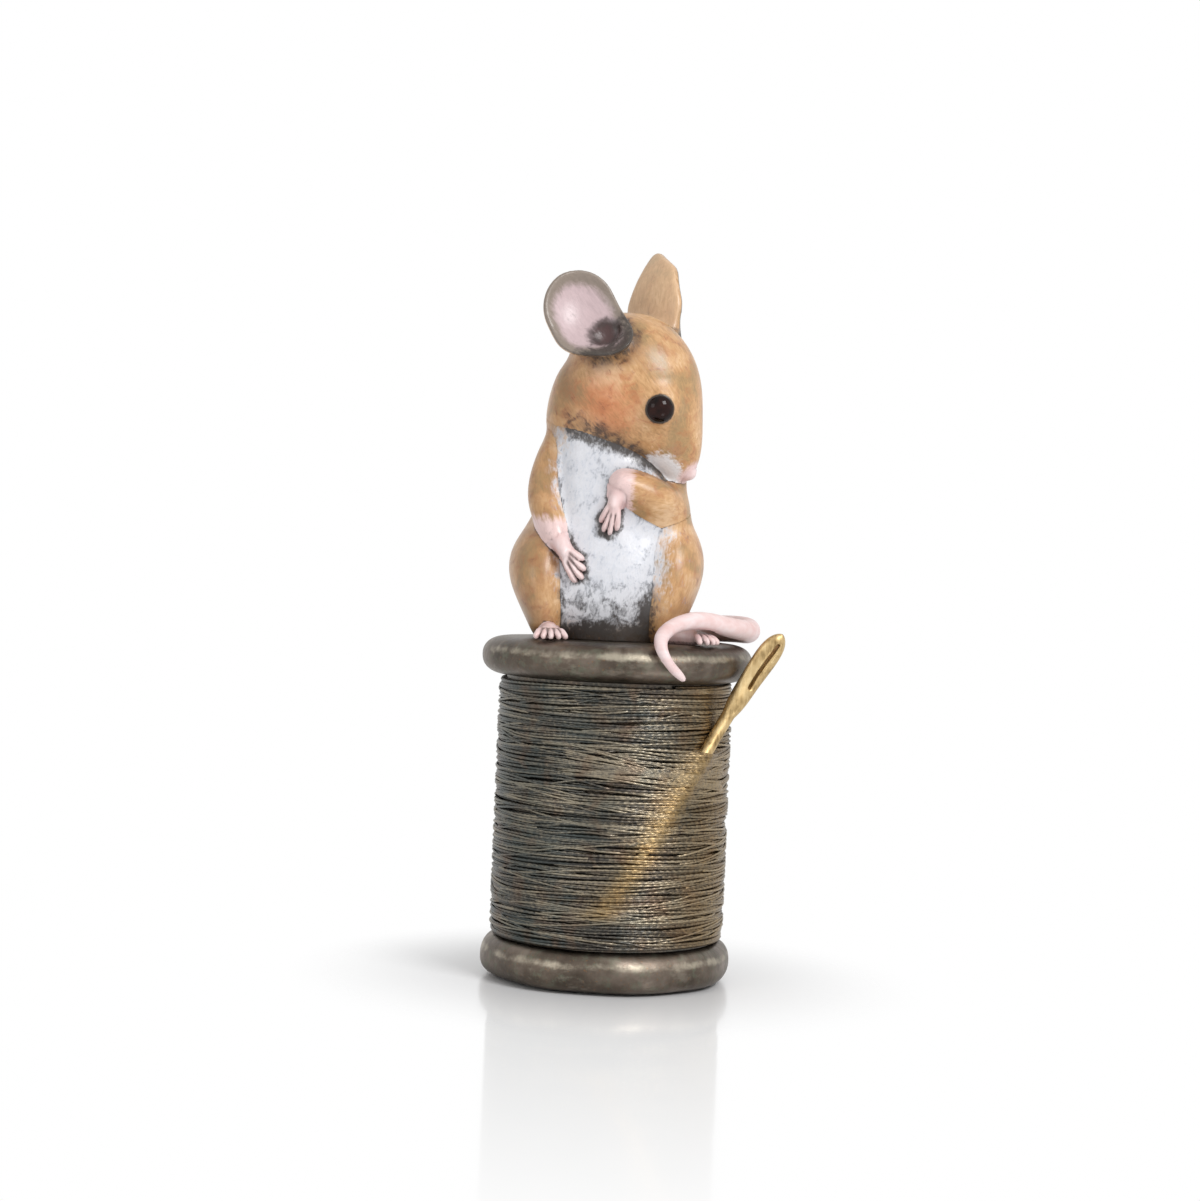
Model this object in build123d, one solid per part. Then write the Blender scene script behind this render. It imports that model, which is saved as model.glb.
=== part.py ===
from build123d import *
import os
from math import acos, atan2, ceil, cos, degrees, hypot, pi, radians, sin, sqrt

# A painted bronze ornament: a mouse sits on a reel of thread, with a needle pushed under the turns.
# Millimetres, +Z up. The origin is on the reel's axis, on the surface that the ornament stands on.
# The mouse faces -Y. Its right side is at -X, and its head is turned towards +X and bowed.

# Reel
reel_height = 43.3
bottom_flange_radius = 16.0
bottom_flange_face_radius = 14.9
bottom_flange_thickness = 5.3
bottom_rim_bulge_height = 2.3
top_flange_radius = 17.35
top_flange_face_radius = 14.8
top_flange_thickness = 4.85
barrel_radius = 7.5
barrel_bore_radius = 2.6
barrel_seat_depth = 1.0
stand_clearance = 0.2

# Felt pad under the reel
pad_radius = 13.2
pad_thickness = 1.0

# Thread
winding_radius = 14.9
thread_diameter = 0.86
turns_below_gap = 18
turns_above_gap = 4
flange_gap = 0.15
thread_seat_gap = 0.03
core_end_gap = 0.05
lift_gap = 0.17
lift_spread = 1.35
lift_run_turns = 0.012
knot_spacing_turns = 0.25

# Needle, with its places given as bearings, radii and heights from the ends of the winding
needle_radius = 0.65
needle_point_length = 3.0
needle_point_radius = 0.15
needle_groove_gap = 0.06
needle_start_radius = 13.3
needle_start_bearing = -93.0
needle_start_rise = 4.9
needle_middle_radius = 14.05
needle_middle_bearing = -66.5
needle_exit_radius = 15.0
needle_exit_bearing = -40.5
needle_exit_drop = 8.45
needle_end_clearance = 4.65
needle_end_bearing = -21.9
needle_end_rise = 1.7
needle_head_length = 12.0
needle_head_facing = -62.0
needle_head_half_width = 1.45
needle_head_half_depth = 0.75
# Share of the head's length, then of its half width and its half depth
needle_head_sections = ((0.35, 0.85, 1.0), (0.72, 1.0, 1.0), (0.93, 0.62, 0.8))
needle_eye_length = 7.2
needle_eye_width = 0.85
needle_eye_place = 0.62

# Fixing through the reel
stud_radius = 1.5
stud_depth_in_torso = 9.0
stud_fit = 0.05
nut_across_flats = 5.5
nut_height = 1.8
washer_radius = 3.5
washer_thickness = 0.5
nut_pocket_radius = 4.0
nut_pocket_depth = 3.4

# Torso: height, centre across, centre along, half width, half depth
torso_sections = (
    (0.0, -1.7, 0.6, 8.4, 8.3),
    (3.5, -1.7, 0.6, 10.0, 9.6),
    (8.5, -1.7, 0.7, 10.3, 9.9),
    (14.0, -1.8, 0.9, 9.4, 9.2),
    (19.5, -2.0, 0.8, 8.7, 8.3),
    (25.0, -2.1, 0.2, 7.9, 7.2),
    (30.0, -2.0, -0.8, 6.5, 6.0),
    (33.5, -1.6, -1.8, 4.4, 4.2),
)
torso_top = 35.0

# Head, in its own directions: towards the nose, towards the left ear and towards the crown
head_centre = (-0.1, -2.6, 33.0)
head_nose_direction = (0.59, -0.10, -0.80)
head_left_direction = (0.28, 0.95, 0.12)
# Distance towards the nose, offset towards the crown, half width, half height
head_sections = (
    (-7.8, 0.2, 3.6, 3.8),
    (-5.4, 0.1, 6.1, 6.7),
    (-1.6, -0.9, 7.6, 9.5),
    (2.4, -0.9, 7.6, 9.5),
    (6.2, -0.3, 6.5, 7.5),
    (9.4, 0.3, 4.9, 4.8),
    (12.0, 0.1, 3.2, 3.1),
    (13.5, -0.2, 1.9, 1.9),
)
head_back = -8.6
head_tip = 14.6
eye_radius = 2.05
eye_forward = 5.9
eye_aside = 5.5
eye_crown = 2.75
nose_radius = 1.05
nose_forward = 13.95
nose_crown = -0.2

# Ears: the height of the joint is measured up the ear's wall
right_ear_dish_radius = 8.0
left_ear_dish_radius = 14.0
ear_dish_height = 4.4
ear_thickness = 0.9
right_ear_root = (-2.9, -8.7, 37.6)
right_ear_direction = (-0.68, 0.10, 0.73)
right_ear_opening = (0.10, -0.97, 0.15)
left_ear_root = (2.9, 1.6, 38.6)
left_ear_direction = (0.0, 0.15, 0.99)
left_ear_opening = (0.66, 0.75, 0.0)
right_ear_joint = 0.6
left_ear_joint = 1.6
# Circles that bound the blade: distance aside, distance up the ear, radius
right_ear_circles = ((0.0, 0.0, 3.0), (-0.4, 4.9, 4.55), (-1.9, 2.8, 3.6))
left_ear_circles = ((0.0, 0.0, 3.2), (0.0, 4.2, 4.3), (-0.4, 7.6, 2.9), (1.0, 11.3, 0.8))

# Arms: height, bearing, distance outside the torso, radius
right_arm_path = (
    (24.5, 195.0, -1.9, 2.5),
    (19.5, 205.0, -0.1, 2.45),
    (15.6, 219.0, 0.7, 2.0),
    (13.4, 229.0, 0.9, 1.55),
)
left_arm_path = (
    (20.6, -12.0, -2.0, 2.5),
    (17.3, -34.0, -0.3, 2.5),
    (18.3, -58.0, 0.9, 2.2),
    (19.5, -75.0, 1.1, 1.7),
)

# Forepaws: wrist and knuckles as height, bearing and distance outside the torso, then the fingertips
paw_wrist_radius = 1.25
paw_knuckle_radius = 1.35
finger_base_radius = 0.62
finger_tip_radius = 0.42
finger_root_share = 0.15
finger_arch = 0.3
right_paw_wrist = (13.2, 230.0, 0.95)
right_paw_knuckles = (11.2, 239.0, 0.8)
right_paw_fingers = ((10.6, 251.5, 0.45), (9.3, 252.0, 0.4), (8.1, 249.5, 0.4), (7.5, 244.0, 0.45))
left_paw_wrist = (19.5, -76.5, 1.1)
left_paw_knuckles = (17.4, -85.5, 0.8)
left_paw_fingers = ((15.2, -99.5, 0.45), (13.9, -95.0, 0.4), (13.4, -88.0, 0.4), (13.9, -80.5, 0.45))

# Hind legs: height, distance aside, distance along, half width, half depth
hind_leg_sections = (
    (0.9, 7.4, -5.2, 1.6, 2.6),
    (2.8, 7.6, -4.4, 2.4, 4.4),
    (5.5, 8.0, -3.0, 3.4, 6.0),
    (8.6, 8.3, -2.0, 4.0, 6.6),
    (11.6, 8.2, -1.4, 3.6, 5.8),
    (14.2, 7.9, -0.9, 2.3, 3.8),
)
hind_leg_bottom = 0.1
hind_leg_top = 15.6
hind_leg_centre = -1.8
right_leg_rise = 0.0
left_leg_rise = 1.6
hip_height = 9.0

# Hind feet: places on the reel's top face
foot_heel_radius = 1.15
foot_ball_radius = 1.0
toe_base_radius = 0.62
toe_tip_radius = 0.45
toe_count = 5
toe_spread = 84.0
toe_length = 2.6
toe_root_reach = 0.5
toe_root_rise = 0.2
toe_arch = 0.25
toe_tip_rise = 0.1
right_foot_heel = (-9.0, -6.6)
right_foot_ball = (-8.6, -10.4)
left_foot_heel = (6.4, -6.4)
left_foot_ball = (9.6, -8.9)
foot_joint_share = 0.35

# Tail: its way over the reel's top face, then down over the rim
tail_root_radius = 1.75
tail_tip_radius = 0.42
tail_taper = 1.2
tail_gap = 0.12
tail_root_height = 3.2
tail_root_bearing = 62.0
tail_root_sink = 1.0
# Distance across, distance along, lift off the face
tail_lying = ((9.5, 9.6, 0.0), (15.0, 5.2, 0.0), (16.6, -1.6, 0.0), (13.4, -7.2, 0.6), (9.0, -11.4, 1.2))
# Distance across, distance out from the rim, height of the tail's middle over the face
tail_hanging = ((5.9, -3.15, 1.87), (5.2, -0.1, -0.3), (6.4, 0.1, -2.3), (7.9, -0.75, -3.8))

# Pins that join the castings
pin_fit = 0.05
limb_pin_radius = 0.9
limb_pin_reach = 2.0
small_pin_radius = 0.4
small_pin_reach = 1.0
pin_root = 0.5

# Rounded ends of limbs, fingers, toes and the tail, as shares of the radius there
round_end_reach = 1.05
round_end_ring_reach = 0.7
round_end_ring_radius = 0.75

winding_bottom = bottom_flange_thickness
winding_top = reel_height - top_flange_thickness
thread_radius = thread_diameter / 2
turn_radius = winding_radius - thread_radius
core_radius = turn_radius - thread_radius - thread_seat_gap


def on_reel(place):
    radius, bearing, height = place
    return Vector(radius * cos(radians(bearing)), radius * sin(radians(bearing)), height)


def on_top(x, y, height):
    return Vector(x, y, reel_height + height)


def ring(centre, along, radius):
    return Plane(origin=centre, z_dir=along) * Circle(radius)


def limb(points, radii):
    """A round-ended form that swells and tapers through circles along a bent line."""
    last = len(points) - 1
    ways = [points[min(i + 1, last)] - points[max(i - 1, 0)] for i in range(last + 1)]
    ways = [way.normalized() for way in ways]
    start, end = points[0], points[last]
    out_start, out_end = ways[0] * -radii[0], ways[last] * radii[last]
    rings = [ring(start + out_start * round_end_ring_reach, ways[0], radii[0] * round_end_ring_radius)]
    rings += [ring(point, way, radius) for point, way, radius in zip(points, ways, radii)]
    rings.append(ring(end + out_end * round_end_ring_reach, ways[last], radii[last] * round_end_ring_radius))
    tips = [Vertex(start + out_start * round_end_reach), Vertex(end + out_end * round_end_reach)]
    return loft([tips[0], *rings, tips[1]])


def joined(piece, host, seat, outward, radius, reach):
    """The piece with a pin, and the host with the hole that the pin goes into."""
    way = outward.normalized()
    peg = extrude(ring(seat - way * reach, way, radius), reach + pin_root)
    hole = extrude(ring(seat - way * (reach + pin_fit), way, radius + pin_fit), reach + pin_fit + pin_root)
    return piece + peg, host - hole


def largest(shape):
    return max(shape.solids(), key=lambda solid: solid.volume)


def above_reel(shape):
    """The part of a shape that is over the reel's top face."""
    return split(shape, Plane(on_top(0, 0, 0)), keep=Keep.TOP)


def torso_at(height):
    """Centre and half sizes of the torso at a height above the reel."""
    for low, high in zip(torso_sections, torso_sections[1:]):
        if height <= high[0]:
            share = (height - low[0]) / (high[0] - low[0])
            return [a + (b - a) * share for a, b in zip(low[1:], high[1:])]
    return list(torso_sections[-1][1:])


def on_torso(height, bearing, proud):
    """A point at this distance outside the torso's skin."""
    x, y, half_width, half_depth = torso_at(height)
    c, s = cos(radians(bearing)), sin(radians(bearing))
    reach = 1 / sqrt((c / half_width) ** 2 + (s / half_depth) ** 2) + proud
    return on_top(x + reach * c, y + reach * s, height)


head_nose = Vector(head_nose_direction).normalized()
head_left = Vector(head_left_direction)
head_left = (head_left - head_nose * head_left.dot(head_nose)).normalized()
head_crown = head_nose.cross(head_left)


def on_head(forward, aside, crown):
    """A point in the head's directions, with the left ear's side positive."""
    return on_top(*head_centre) + head_nose * forward + head_left * aside + head_crown * crown


def biarc(start, start_way, end, end_way):
    """Two arcs that leave one point and reach another, tangent to both directions and to each other."""
    span = end - start
    both = start_way + end_way
    spread = 2 * (1 - start_way.dot(end_way))
    along = span.dot(both)
    if spread < 1e-9:
        reach = span.dot(span) / (4 * span.dot(end_way))
    else:
        reach = (sqrt(along**2 + spread * span.dot(span)) - along) / spread
    middle = (start + start_way * reach + end - end_way * reach) * 0.5
    middle_way = end - end_way * reach - middle
    return [TangentArc(start, middle, tangent=start_way), TangentArc(middle, end, tangent=middle_way)]


def make_bottom_flange():
    profile = Polyline(
        (bottom_flange_face_radius, bottom_flange_thickness),
        (0, bottom_flange_thickness),
        (0, stand_clearance),
        (bottom_flange_face_radius, stand_clearance),
    )
    rim = ThreePointArc(profile @ 1, (bottom_flange_radius, bottom_rim_bulge_height), profile @ 0)
    flange = revolve(make_face(Plane.XZ * (profile + rim)), Axis.Z)
    seat_height = bottom_flange_thickness - barrel_seat_depth
    flange -= extrude(Pos(0, 0, seat_height) * Circle(barrel_radius + stud_fit), barrel_seat_depth)
    flange -= extrude(Circle(pad_radius + stud_fit), pad_thickness)
    flange -= extrude(Circle(stud_radius + stud_fit), reel_height)
    return flange - extrude(Circle(nut_pocket_radius), nut_pocket_depth)


def make_top_flange():
    profile = Polyline(
        (top_flange_face_radius, winding_top),
        (0, winding_top),
        (0, reel_height),
        (top_flange_face_radius, reel_height),
    )
    rim = ThreePointArc(profile @ 1, (top_flange_radius, (winding_top + reel_height) / 2), profile @ 0)
    flange = revolve(make_face(Plane.XZ * (profile + rim)), Axis.Z)
    flange -= extrude(Pos(0, 0, winding_top) * Circle(barrel_radius + stud_fit), barrel_seat_depth)
    return flange - extrude(Circle(stud_radius + stud_fit), 2 * reel_height)


def make_barrel():
    start = bottom_flange_thickness - barrel_seat_depth
    end = winding_top + barrel_seat_depth
    wall = Circle(barrel_radius) - Circle(barrel_bore_radius)
    return extrude(Pos(0, 0, start) * wall, end - start)


def make_stud():
    start = nut_pocket_depth - washer_thickness - nut_height
    end = reel_height + stud_depth_in_torso
    return extrude(Pos(0, 0, start) * Circle(stud_radius), end - start)


def make_washer():
    wall = Circle(washer_radius) - Circle(stud_radius + stud_fit)
    return extrude(Pos(0, 0, nut_pocket_depth - washer_thickness) * wall, washer_thickness)


def make_nut():
    corner_radius = nut_across_flats / 2 / cos(pi / 6)
    wall = RegularPolygon(corner_radius, 6) - Circle(stud_radius + stud_fit)
    return extrude(Pos(0, 0, nut_pocket_depth - washer_thickness - nut_height) * wall, nut_height)


def make_base_pad():
    return extrude(Circle(pad_radius), pad_thickness)


needle_start_height = winding_bottom + needle_start_rise
needle_exit_height = winding_top - needle_exit_drop
needle_middle_height = (needle_start_height + needle_exit_height) / 2
needle_end_radius = top_flange_radius + needle_end_clearance
needle_tip = on_reel((needle_start_radius, needle_start_bearing, needle_start_height))
needle_middle = on_reel((needle_middle_radius, needle_middle_bearing, needle_middle_height))
needle_leave = on_reel((needle_exit_radius, needle_exit_bearing, needle_exit_height))
needle_top = on_reel((needle_end_radius, needle_end_bearing, reel_height + needle_end_rise))
needle_bow = ThreePointArc(needle_tip, needle_middle, needle_leave)
needle_rise = TangentArc(needle_leave, needle_top, tangent=needle_bow % 1)


def needle_at(height):
    """Radius and bearing of the needle's middle at a height, on its bow under the thread."""
    low, high = 0.0, 1.0
    for _ in range(30):
        share = (low + high) / 2
        low, high = (share, high) if (needle_bow @ share).Z < height else (low, share)
    point = needle_bow @ low
    return hypot(point.X, point.Y), degrees(atan2(point.Y, point.X))


def needle_clear_height():
    """Height where the needle has come clear of the turns that it crosses on the outside."""
    low, high = 0.0, 1.0
    for _ in range(30):
        share = (low + high) / 2
        point = needle_rise @ share
        inside = hypot(point.X, point.Y) < winding_radius + needle_radius + lift_gap
        low, high = (share, high) if inside else (low, share)
    return (needle_rise @ high).Z + thread_radius


def make_needle():
    point_way = needle_bow % 0
    stem_end = 1 - needle_head_length / needle_rise.length
    stem_path = Wire([needle_bow, needle_rise.trim(0, stem_end)])
    stem = sweep(ring(needle_tip, point_way, needle_radius), stem_path)
    point_start = needle_tip - point_way * needle_point_length
    point_end = ring(point_start, point_way, needle_point_radius)
    stem += loft([point_end, ring(needle_tip, point_way, needle_radius)])
    head_sizes = [(0.0, needle_radius, needle_radius)]
    for share, width_share, depth_share in needle_head_sections:
        head_sizes.append((share, needle_head_half_width * width_share, needle_head_half_depth * depth_share))
    outward = on_reel((1, needle_head_facing, 0))
    ovals = []
    for head_share, half_width, half_depth in head_sizes:
        share = stem_end + (1 - stem_end) * head_share
        way = needle_rise % share
        plane = Plane(origin=needle_rise @ share, x_dir=way.cross(outward), z_dir=way)
        ovals.append(plane * Ellipse(half_width, half_depth))
    head = loft([*ovals, Vertex(needle_top)])
    eye_share = stem_end + (1 - stem_end) * needle_eye_place
    eye_way = needle_rise % eye_share
    through = eye_way.cross(outward).cross(eye_way)
    eye_plane = Plane(origin=needle_rise @ eye_share, x_dir=eye_way, z_dir=through)
    slot = eye_plane * SlotOverall(needle_eye_length, needle_eye_width)
    return stem + head - extrude(slot, 2 * needle_head_half_depth, both=True)


def needle_groove():
    path = Wire([needle_bow, needle_rise])
    way = needle_bow % 0
    radius = needle_radius + needle_groove_gap
    point_room = needle_point_length + needle_groove_gap
    bore = sweep(ring(needle_tip, way, radius), path)
    return bore + extrude(ring(needle_tip - way * point_room, way, radius), point_room)


def make_thread_core():
    wall = Circle(core_radius) - Circle(barrel_radius + stud_fit)
    height = winding_top - winding_bottom - 2 * core_end_gap
    return extrude(Pos(0, 0, winding_bottom + core_end_gap) * wall, height) - needle_groove()


first_turn_height = winding_bottom + flange_gap + thread_radius
last_turn_height = winding_top - flange_gap - thread_radius
under_gap_height = needle_exit_height - thread_radius
over_gap_height = needle_clear_height()
pitch_below = (under_gap_height - first_turn_height) / turns_below_gap
pitch_above = (last_turn_height - over_gap_height) / turns_above_gap


def turn_height(turns):
    """Height of the thread after a number of turns, with one wide step where the needle comes out."""
    if turns <= turns_below_gap:
        return first_turn_height + pitch_below * turns
    if turns <= turns_below_gap + 1:
        return under_gap_height + (over_gap_height - under_gap_height) * (turns - turns_below_gap)
    return over_gap_height + pitch_above * (turns - turns_below_gap - 1)


def thread_knots():
    """Points along the thread with their directions: quarter turns, and lifts over the needle."""
    start_bearing = needle_exit_bearing
    total = turns_below_gap + 1 + turns_above_gap

    def place(turns, radius):
        return on_reel((radius, start_bearing + 360 * turns, turn_height(turns)))

    def way(turns):
        step = 1e-4
        return (place(turns + step, turn_radius) - place(turns - step, turn_radius)).normalized()

    lifts = []
    for turn in range(1, turns_below_gap + 1):
        height = turn_height(turn)
        if height < needle_tip.Z:
            continue
        for _ in range(8):
            radius, bearing = needle_at(height)
            crossing = turn + (bearing - start_bearing) / 360
            height = turn_height(crossing)
        over = radius + needle_radius + lift_gap + thread_radius
        lifts.append((crossing, max(over, turn_radius)))

    knots = []
    at = 0.0
    for crossing, over in lifts:
        half = lift_spread * acos(turn_radius / over) / (2 * pi) + lift_run_turns
        steps = ceil((crossing - half - at) / knot_spacing_turns)
        knots += [(at + (crossing - half - at) * i / steps, turn_radius) for i in range(steps + 1)]
        knots.append((crossing, over))
        at = crossing + half
    steps = ceil((total - at) / knot_spacing_turns)
    knots += [(at + (total - at) * i / steps, turn_radius) for i in range(steps + 1)]
    return [(place(turns, radius), way(turns)) for turns, radius in knots]


def make_thread_turns():
    knots = thread_knots()
    start, start_way = knots[0]
    end, end_way = knots[-1]
    edges = [Line(start - start_way * thread_diameter, start)]
    for (here, here_way), (there, there_way) in zip(knots, knots[1:]):
        edges += biarc(here, here_way, there, there_way)
    edges.append(Line(end, end + end_way * thread_diameter))
    path = Wire(edges)
    tube = sweep(ring(path @ 0, path % 0, thread_radius), path)
    points = [edge @ share for edge in edges for share in (0.0, 0.5)]
    per_turn = len(points) // (turns_below_gap + turns_above_gap + 1)
    nearest = min(
        (a - b).length
        for i, a in enumerate(points)
        for b in points[i + per_turn // 2 : i + 2 * per_turn]
    )
    print("thread: least gap to itself", round(nearest - thread_diameter, 3))
    plain_volume = pi * thread_radius**2 * path.length
    print("thread: volume over section times length", round(tube.volume / plain_volume, 4))
    return tube


def make_torso():
    sections = []
    for height, x, y, half_width, half_depth in torso_sections:
        sections.append(Plane(on_top(x, y, height)) * Ellipse(half_width, half_depth))
    x, y = torso_sections[-1][1:3]
    return loft([*sections, Vertex(on_top(x, y, torso_top))])


def make_head():
    sections = []
    for forward, crown, half_width, half_height in head_sections:
        plane = Plane(on_head(forward, 0, crown), x_dir=head_left, z_dir=head_nose)
        sections.append(plane * Ellipse(half_width, half_height))
    back = Vertex(on_head(head_back, 0, head_sections[0][1]))
    tip = Vertex(on_head(head_tip, 0, head_sections[-1][1]))
    return loft([back, *sections, tip])


def make_eye(side):
    outward = head_left * side * eye_aside + head_crown * eye_crown
    return Plane(on_head(eye_forward, side * eye_aside, eye_crown), z_dir=outward) * Sphere(eye_radius)


def make_nose():
    return Plane(on_head(nose_forward, 0, nose_crown), z_dir=head_nose) * Sphere(nose_radius)


def ear_plane(root, direction, opening):
    """A plane at the ear's root, with Y up the ear and Z out of its opening."""
    upward = Vector(direction).normalized()
    facing = Vector(opening)
    facing = (facing - upward * facing.dot(upward)).normalized()
    return Plane(on_top(*root), x_dir=upward.cross(facing), z_dir=facing)


def make_ear(plane, dish_radius, circles):
    """A dished leaf: a blade with rounded corners on a narrower root, cut from a hollow ball."""
    blade = make_hull([(Pos(aside, up) * Circle(radius)).edge() for aside, up, radius in circles])
    ball_centre = Pos(0, ear_dish_height, dish_radius)
    dish = ball_centre * Sphere(dish_radius + ear_thickness) - ball_centre * Sphere(dish_radius)
    return plane * largest(dish & extrude(blade, dish_radius, both=True))


def ear_joint(plane, dish_radius, height):
    """A point in the middle of the ear's wall at a height above its root, and the way up the wall there."""
    wall_radius = dish_radius + ear_thickness / 2
    fall = sqrt(wall_radius**2 - (height - ear_dish_height) ** 2)
    seat = plane.from_local_coords(Vector(0, height, dish_radius - fall))
    return seat, plane.from_local_coords(Vector(0, fall, height - ear_dish_height)) - plane.origin


def make_arm(path):
    points = [on_torso(height, bearing, proud) for height, bearing, proud, _ in path]
    return limb(points, [radius for *_, radius in path])


def make_forepaw(wrist, knuckles, fingers):
    start, middle = on_torso(*wrist), on_torso(*knuckles)
    palm_radii = [paw_wrist_radius, paw_wrist_radius, paw_knuckle_radius]
    paw = limb([start, (start + middle) * 0.5, middle], palm_radii)
    digits = []
    for finger in fingers:
        tip = on_torso(*finger)
        root = middle + (tip - middle) * finger_root_share
        outward = on_torso(finger[0], finger[1], 1) - on_torso(finger[0], finger[1], 0)
        bend = (root + tip) * 0.5 + outward * finger_arch
        digits.append(limb([root, bend, tip], [finger_base_radius, finger_base_radius, finger_tip_radius]))
    return paw + digits


def make_hind_leg(side, rise):
    sections = []
    for height, aside, along, half_width, half_depth in hind_leg_sections:
        stretch = rise * height / hind_leg_top
        centre = on_top(hind_leg_centre + side * aside, along, height + stretch)
        sections.append(Plane(centre) * Ellipse(half_width, half_depth))
    low, high = hind_leg_sections[0], hind_leg_sections[-1]
    foot = Vertex(on_top(hind_leg_centre + side * low[1], low[2], hind_leg_bottom))
    top = Vertex(on_top(hind_leg_centre + side * high[1], high[2], hind_leg_top + rise))
    return loft([foot, *sections, top])


def make_hind_foot(heel, ball):
    start = on_top(*heel, foot_heel_radius)
    middle = on_top(*ball, foot_ball_radius)
    sole_radii = [foot_heel_radius, foot_heel_radius, foot_ball_radius]
    foot = limb([start, (start + middle) * 0.5, middle], sole_radii)
    heading = degrees(atan2(ball[1] - heel[1], ball[0] - heel[0]))
    toes = []
    for i in range(toe_count):
        turn = radians(heading + toe_spread * (i / (toe_count - 1) - 0.5))
        way = Vector(cos(turn), sin(turn), 0)
        root = on_top(*ball, toe_base_radius + toe_root_rise) + way * toe_root_reach
        knuckle = root + way * toe_length * 0.5 + Vector(0, 0, toe_arch)
        tip = on_top(*ball, toe_tip_radius + toe_tip_rise) + way * toe_length
        toes.append(limb([root, knuckle, tip], [toe_base_radius, toe_base_radius, toe_tip_radius]))
    return foot + toes


def make_tail():
    """From the rump round the mouse's left side, over its foot and down over the reel's rim."""
    rest = tail_root_radius + tail_gap
    rim_out = top_flange_radius + tail_gap
    points = [on_torso(tail_root_height, tail_root_bearing, -tail_root_sink)]
    points += [on_top(across, along, rest + lift) for across, along, lift in tail_lying]
    points += [on_top(across, -rim_out - out, height) for across, out, height in tail_hanging]
    last = len(points) - 1
    shares = [(i / last) ** tail_taper for i in range(last + 1)]
    radii = [tail_root_radius + (tail_tip_radius - tail_root_radius) * share for share in shares]
    return limb(points, radii)


def build_mouse():
    """The castings, each one cut by the larger ones that it meets, with pins at their joints."""
    torso = make_torso()
    eyes = {"right": make_eye(-1), "left": make_eye(1)}
    nose = make_nose()
    head = make_head() - eyes["right"] - eyes["left"] - nose - torso
    ears = {
        "right": (ear_plane(right_ear_root, right_ear_direction, right_ear_opening), right_ear_dish_radius),
        "left": (ear_plane(left_ear_root, left_ear_direction, left_ear_opening), left_ear_dish_radius),
    }
    ear_circles = {"right": right_ear_circles, "left": left_ear_circles}
    ear_joints = {"right": right_ear_joint, "left": left_ear_joint}
    arm_paths = {"right": right_arm_path, "left": left_arm_path}
    paw_places = {
        "right": (right_paw_wrist, right_paw_knuckles, right_paw_fingers),
        "left": (left_paw_wrist, left_paw_knuckles, left_paw_fingers),
    }
    foot_places = {"right": (right_foot_heel, right_foot_ball), "left": (left_foot_heel, left_foot_ball)}
    leg_sides = {"right": (-1, right_leg_rise), "left": (1, left_leg_rise)}
    mouse = {"nose": nose}
    for side in ("right", "left"):
        ear = largest(make_ear(*ears[side], ear_circles[side]) - head)
        ear_seat, ear_way = ear_joint(*ears[side], ear_joints[side])
        ear, head = joined(ear, head, ear_seat, ear_way, small_pin_radius, small_pin_reach)
        leg_bearing = 180.0 if side == "right" else 0.0
        hip = on_torso(hip_height, leg_bearing, 0)
        outward = on_torso(hip_height, leg_bearing, 1) - hip
        leg = largest(above_reel(make_hind_leg(*leg_sides[side])) - torso)
        leg, torso = joined(leg, torso, hip, outward, limb_pin_radius, limb_pin_reach)
        arm = largest(make_arm(arm_paths[side]) - torso - head - leg - nose)
        shoulder_height, shoulder_bearing = arm_paths[side][0][:2]
        shoulder = on_torso(shoulder_height, shoulder_bearing, 0)
        outward = on_torso(shoulder_height, shoulder_bearing, 1) - shoulder
        arm, torso = joined(arm, torso, shoulder, outward, limb_pin_radius, limb_pin_reach)
        paw = largest(make_forepaw(*paw_places[side]) - torso - arm - leg)
        paw_way = (on_torso(*paw_places[side][1]) - on_torso(*paw_places[side][0])).normalized()
        wrist = on_torso(*arm_paths[side][-1][:3]) + paw_way * arm_paths[side][-1][3]
        paw, arm = joined(paw, arm, wrist, paw_way, small_pin_radius, small_pin_reach)
        heel, ball = (on_top(*place, foot_heel_radius) for place in foot_places[side])
        foot = largest(above_reel(make_hind_foot(*foot_places[side])) - torso - leg)
        ankle = heel + (ball - heel) * foot_joint_share
        foot, leg = joined(foot, leg, ankle, ball - heel, small_pin_radius, small_pin_reach)
        mouse[side + "_ear"] = ear
        mouse[side + "_eye"] = eyes[side]
        mouse[side + "_hind_leg"] = leg
        mouse[side + "_arm"] = arm
        mouse[side + "_forepaw"] = paw
        mouse[side + "_hind_foot"] = foot
    rump = on_torso(tail_root_height, tail_root_bearing, 0)
    outward = on_torso(tail_root_height, tail_root_bearing, 1) - rump
    tail = largest(make_tail() - torso - mouse["left_hind_leg"] - mouse["left_hind_foot"])
    mouse["tail"], torso = joined(tail, torso, rump, outward, limb_pin_radius, limb_pin_reach)
    stud_bore = Pos(0, 0, reel_height) * Circle(stud_radius + stud_fit)
    mouse["torso"] = torso - extrude(stud_bore, stud_depth_in_torso + stud_fit)
    mouse["head"] = head
    return mouse


pieces = {
    "bottom_flange": make_bottom_flange(),
    "top_flange": make_top_flange(),
    "reel_barrel": make_barrel(),
    "thread_core": make_thread_core(),
    "thread_turns": make_thread_turns(),
    "needle": make_needle(),
    "fixing_stud": make_stud(),
    "washer": make_washer(),
    "nut": make_nut(),
    "base_pad": make_base_pad(),
    **build_mouse(),
}

os.makedirs("parts", exist_ok=True)
for name, piece in pieces.items():
    print(name, len(piece.solids()), round(piece.volume, 1))
    export_step(piece, f"parts/{name}.step")
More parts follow.
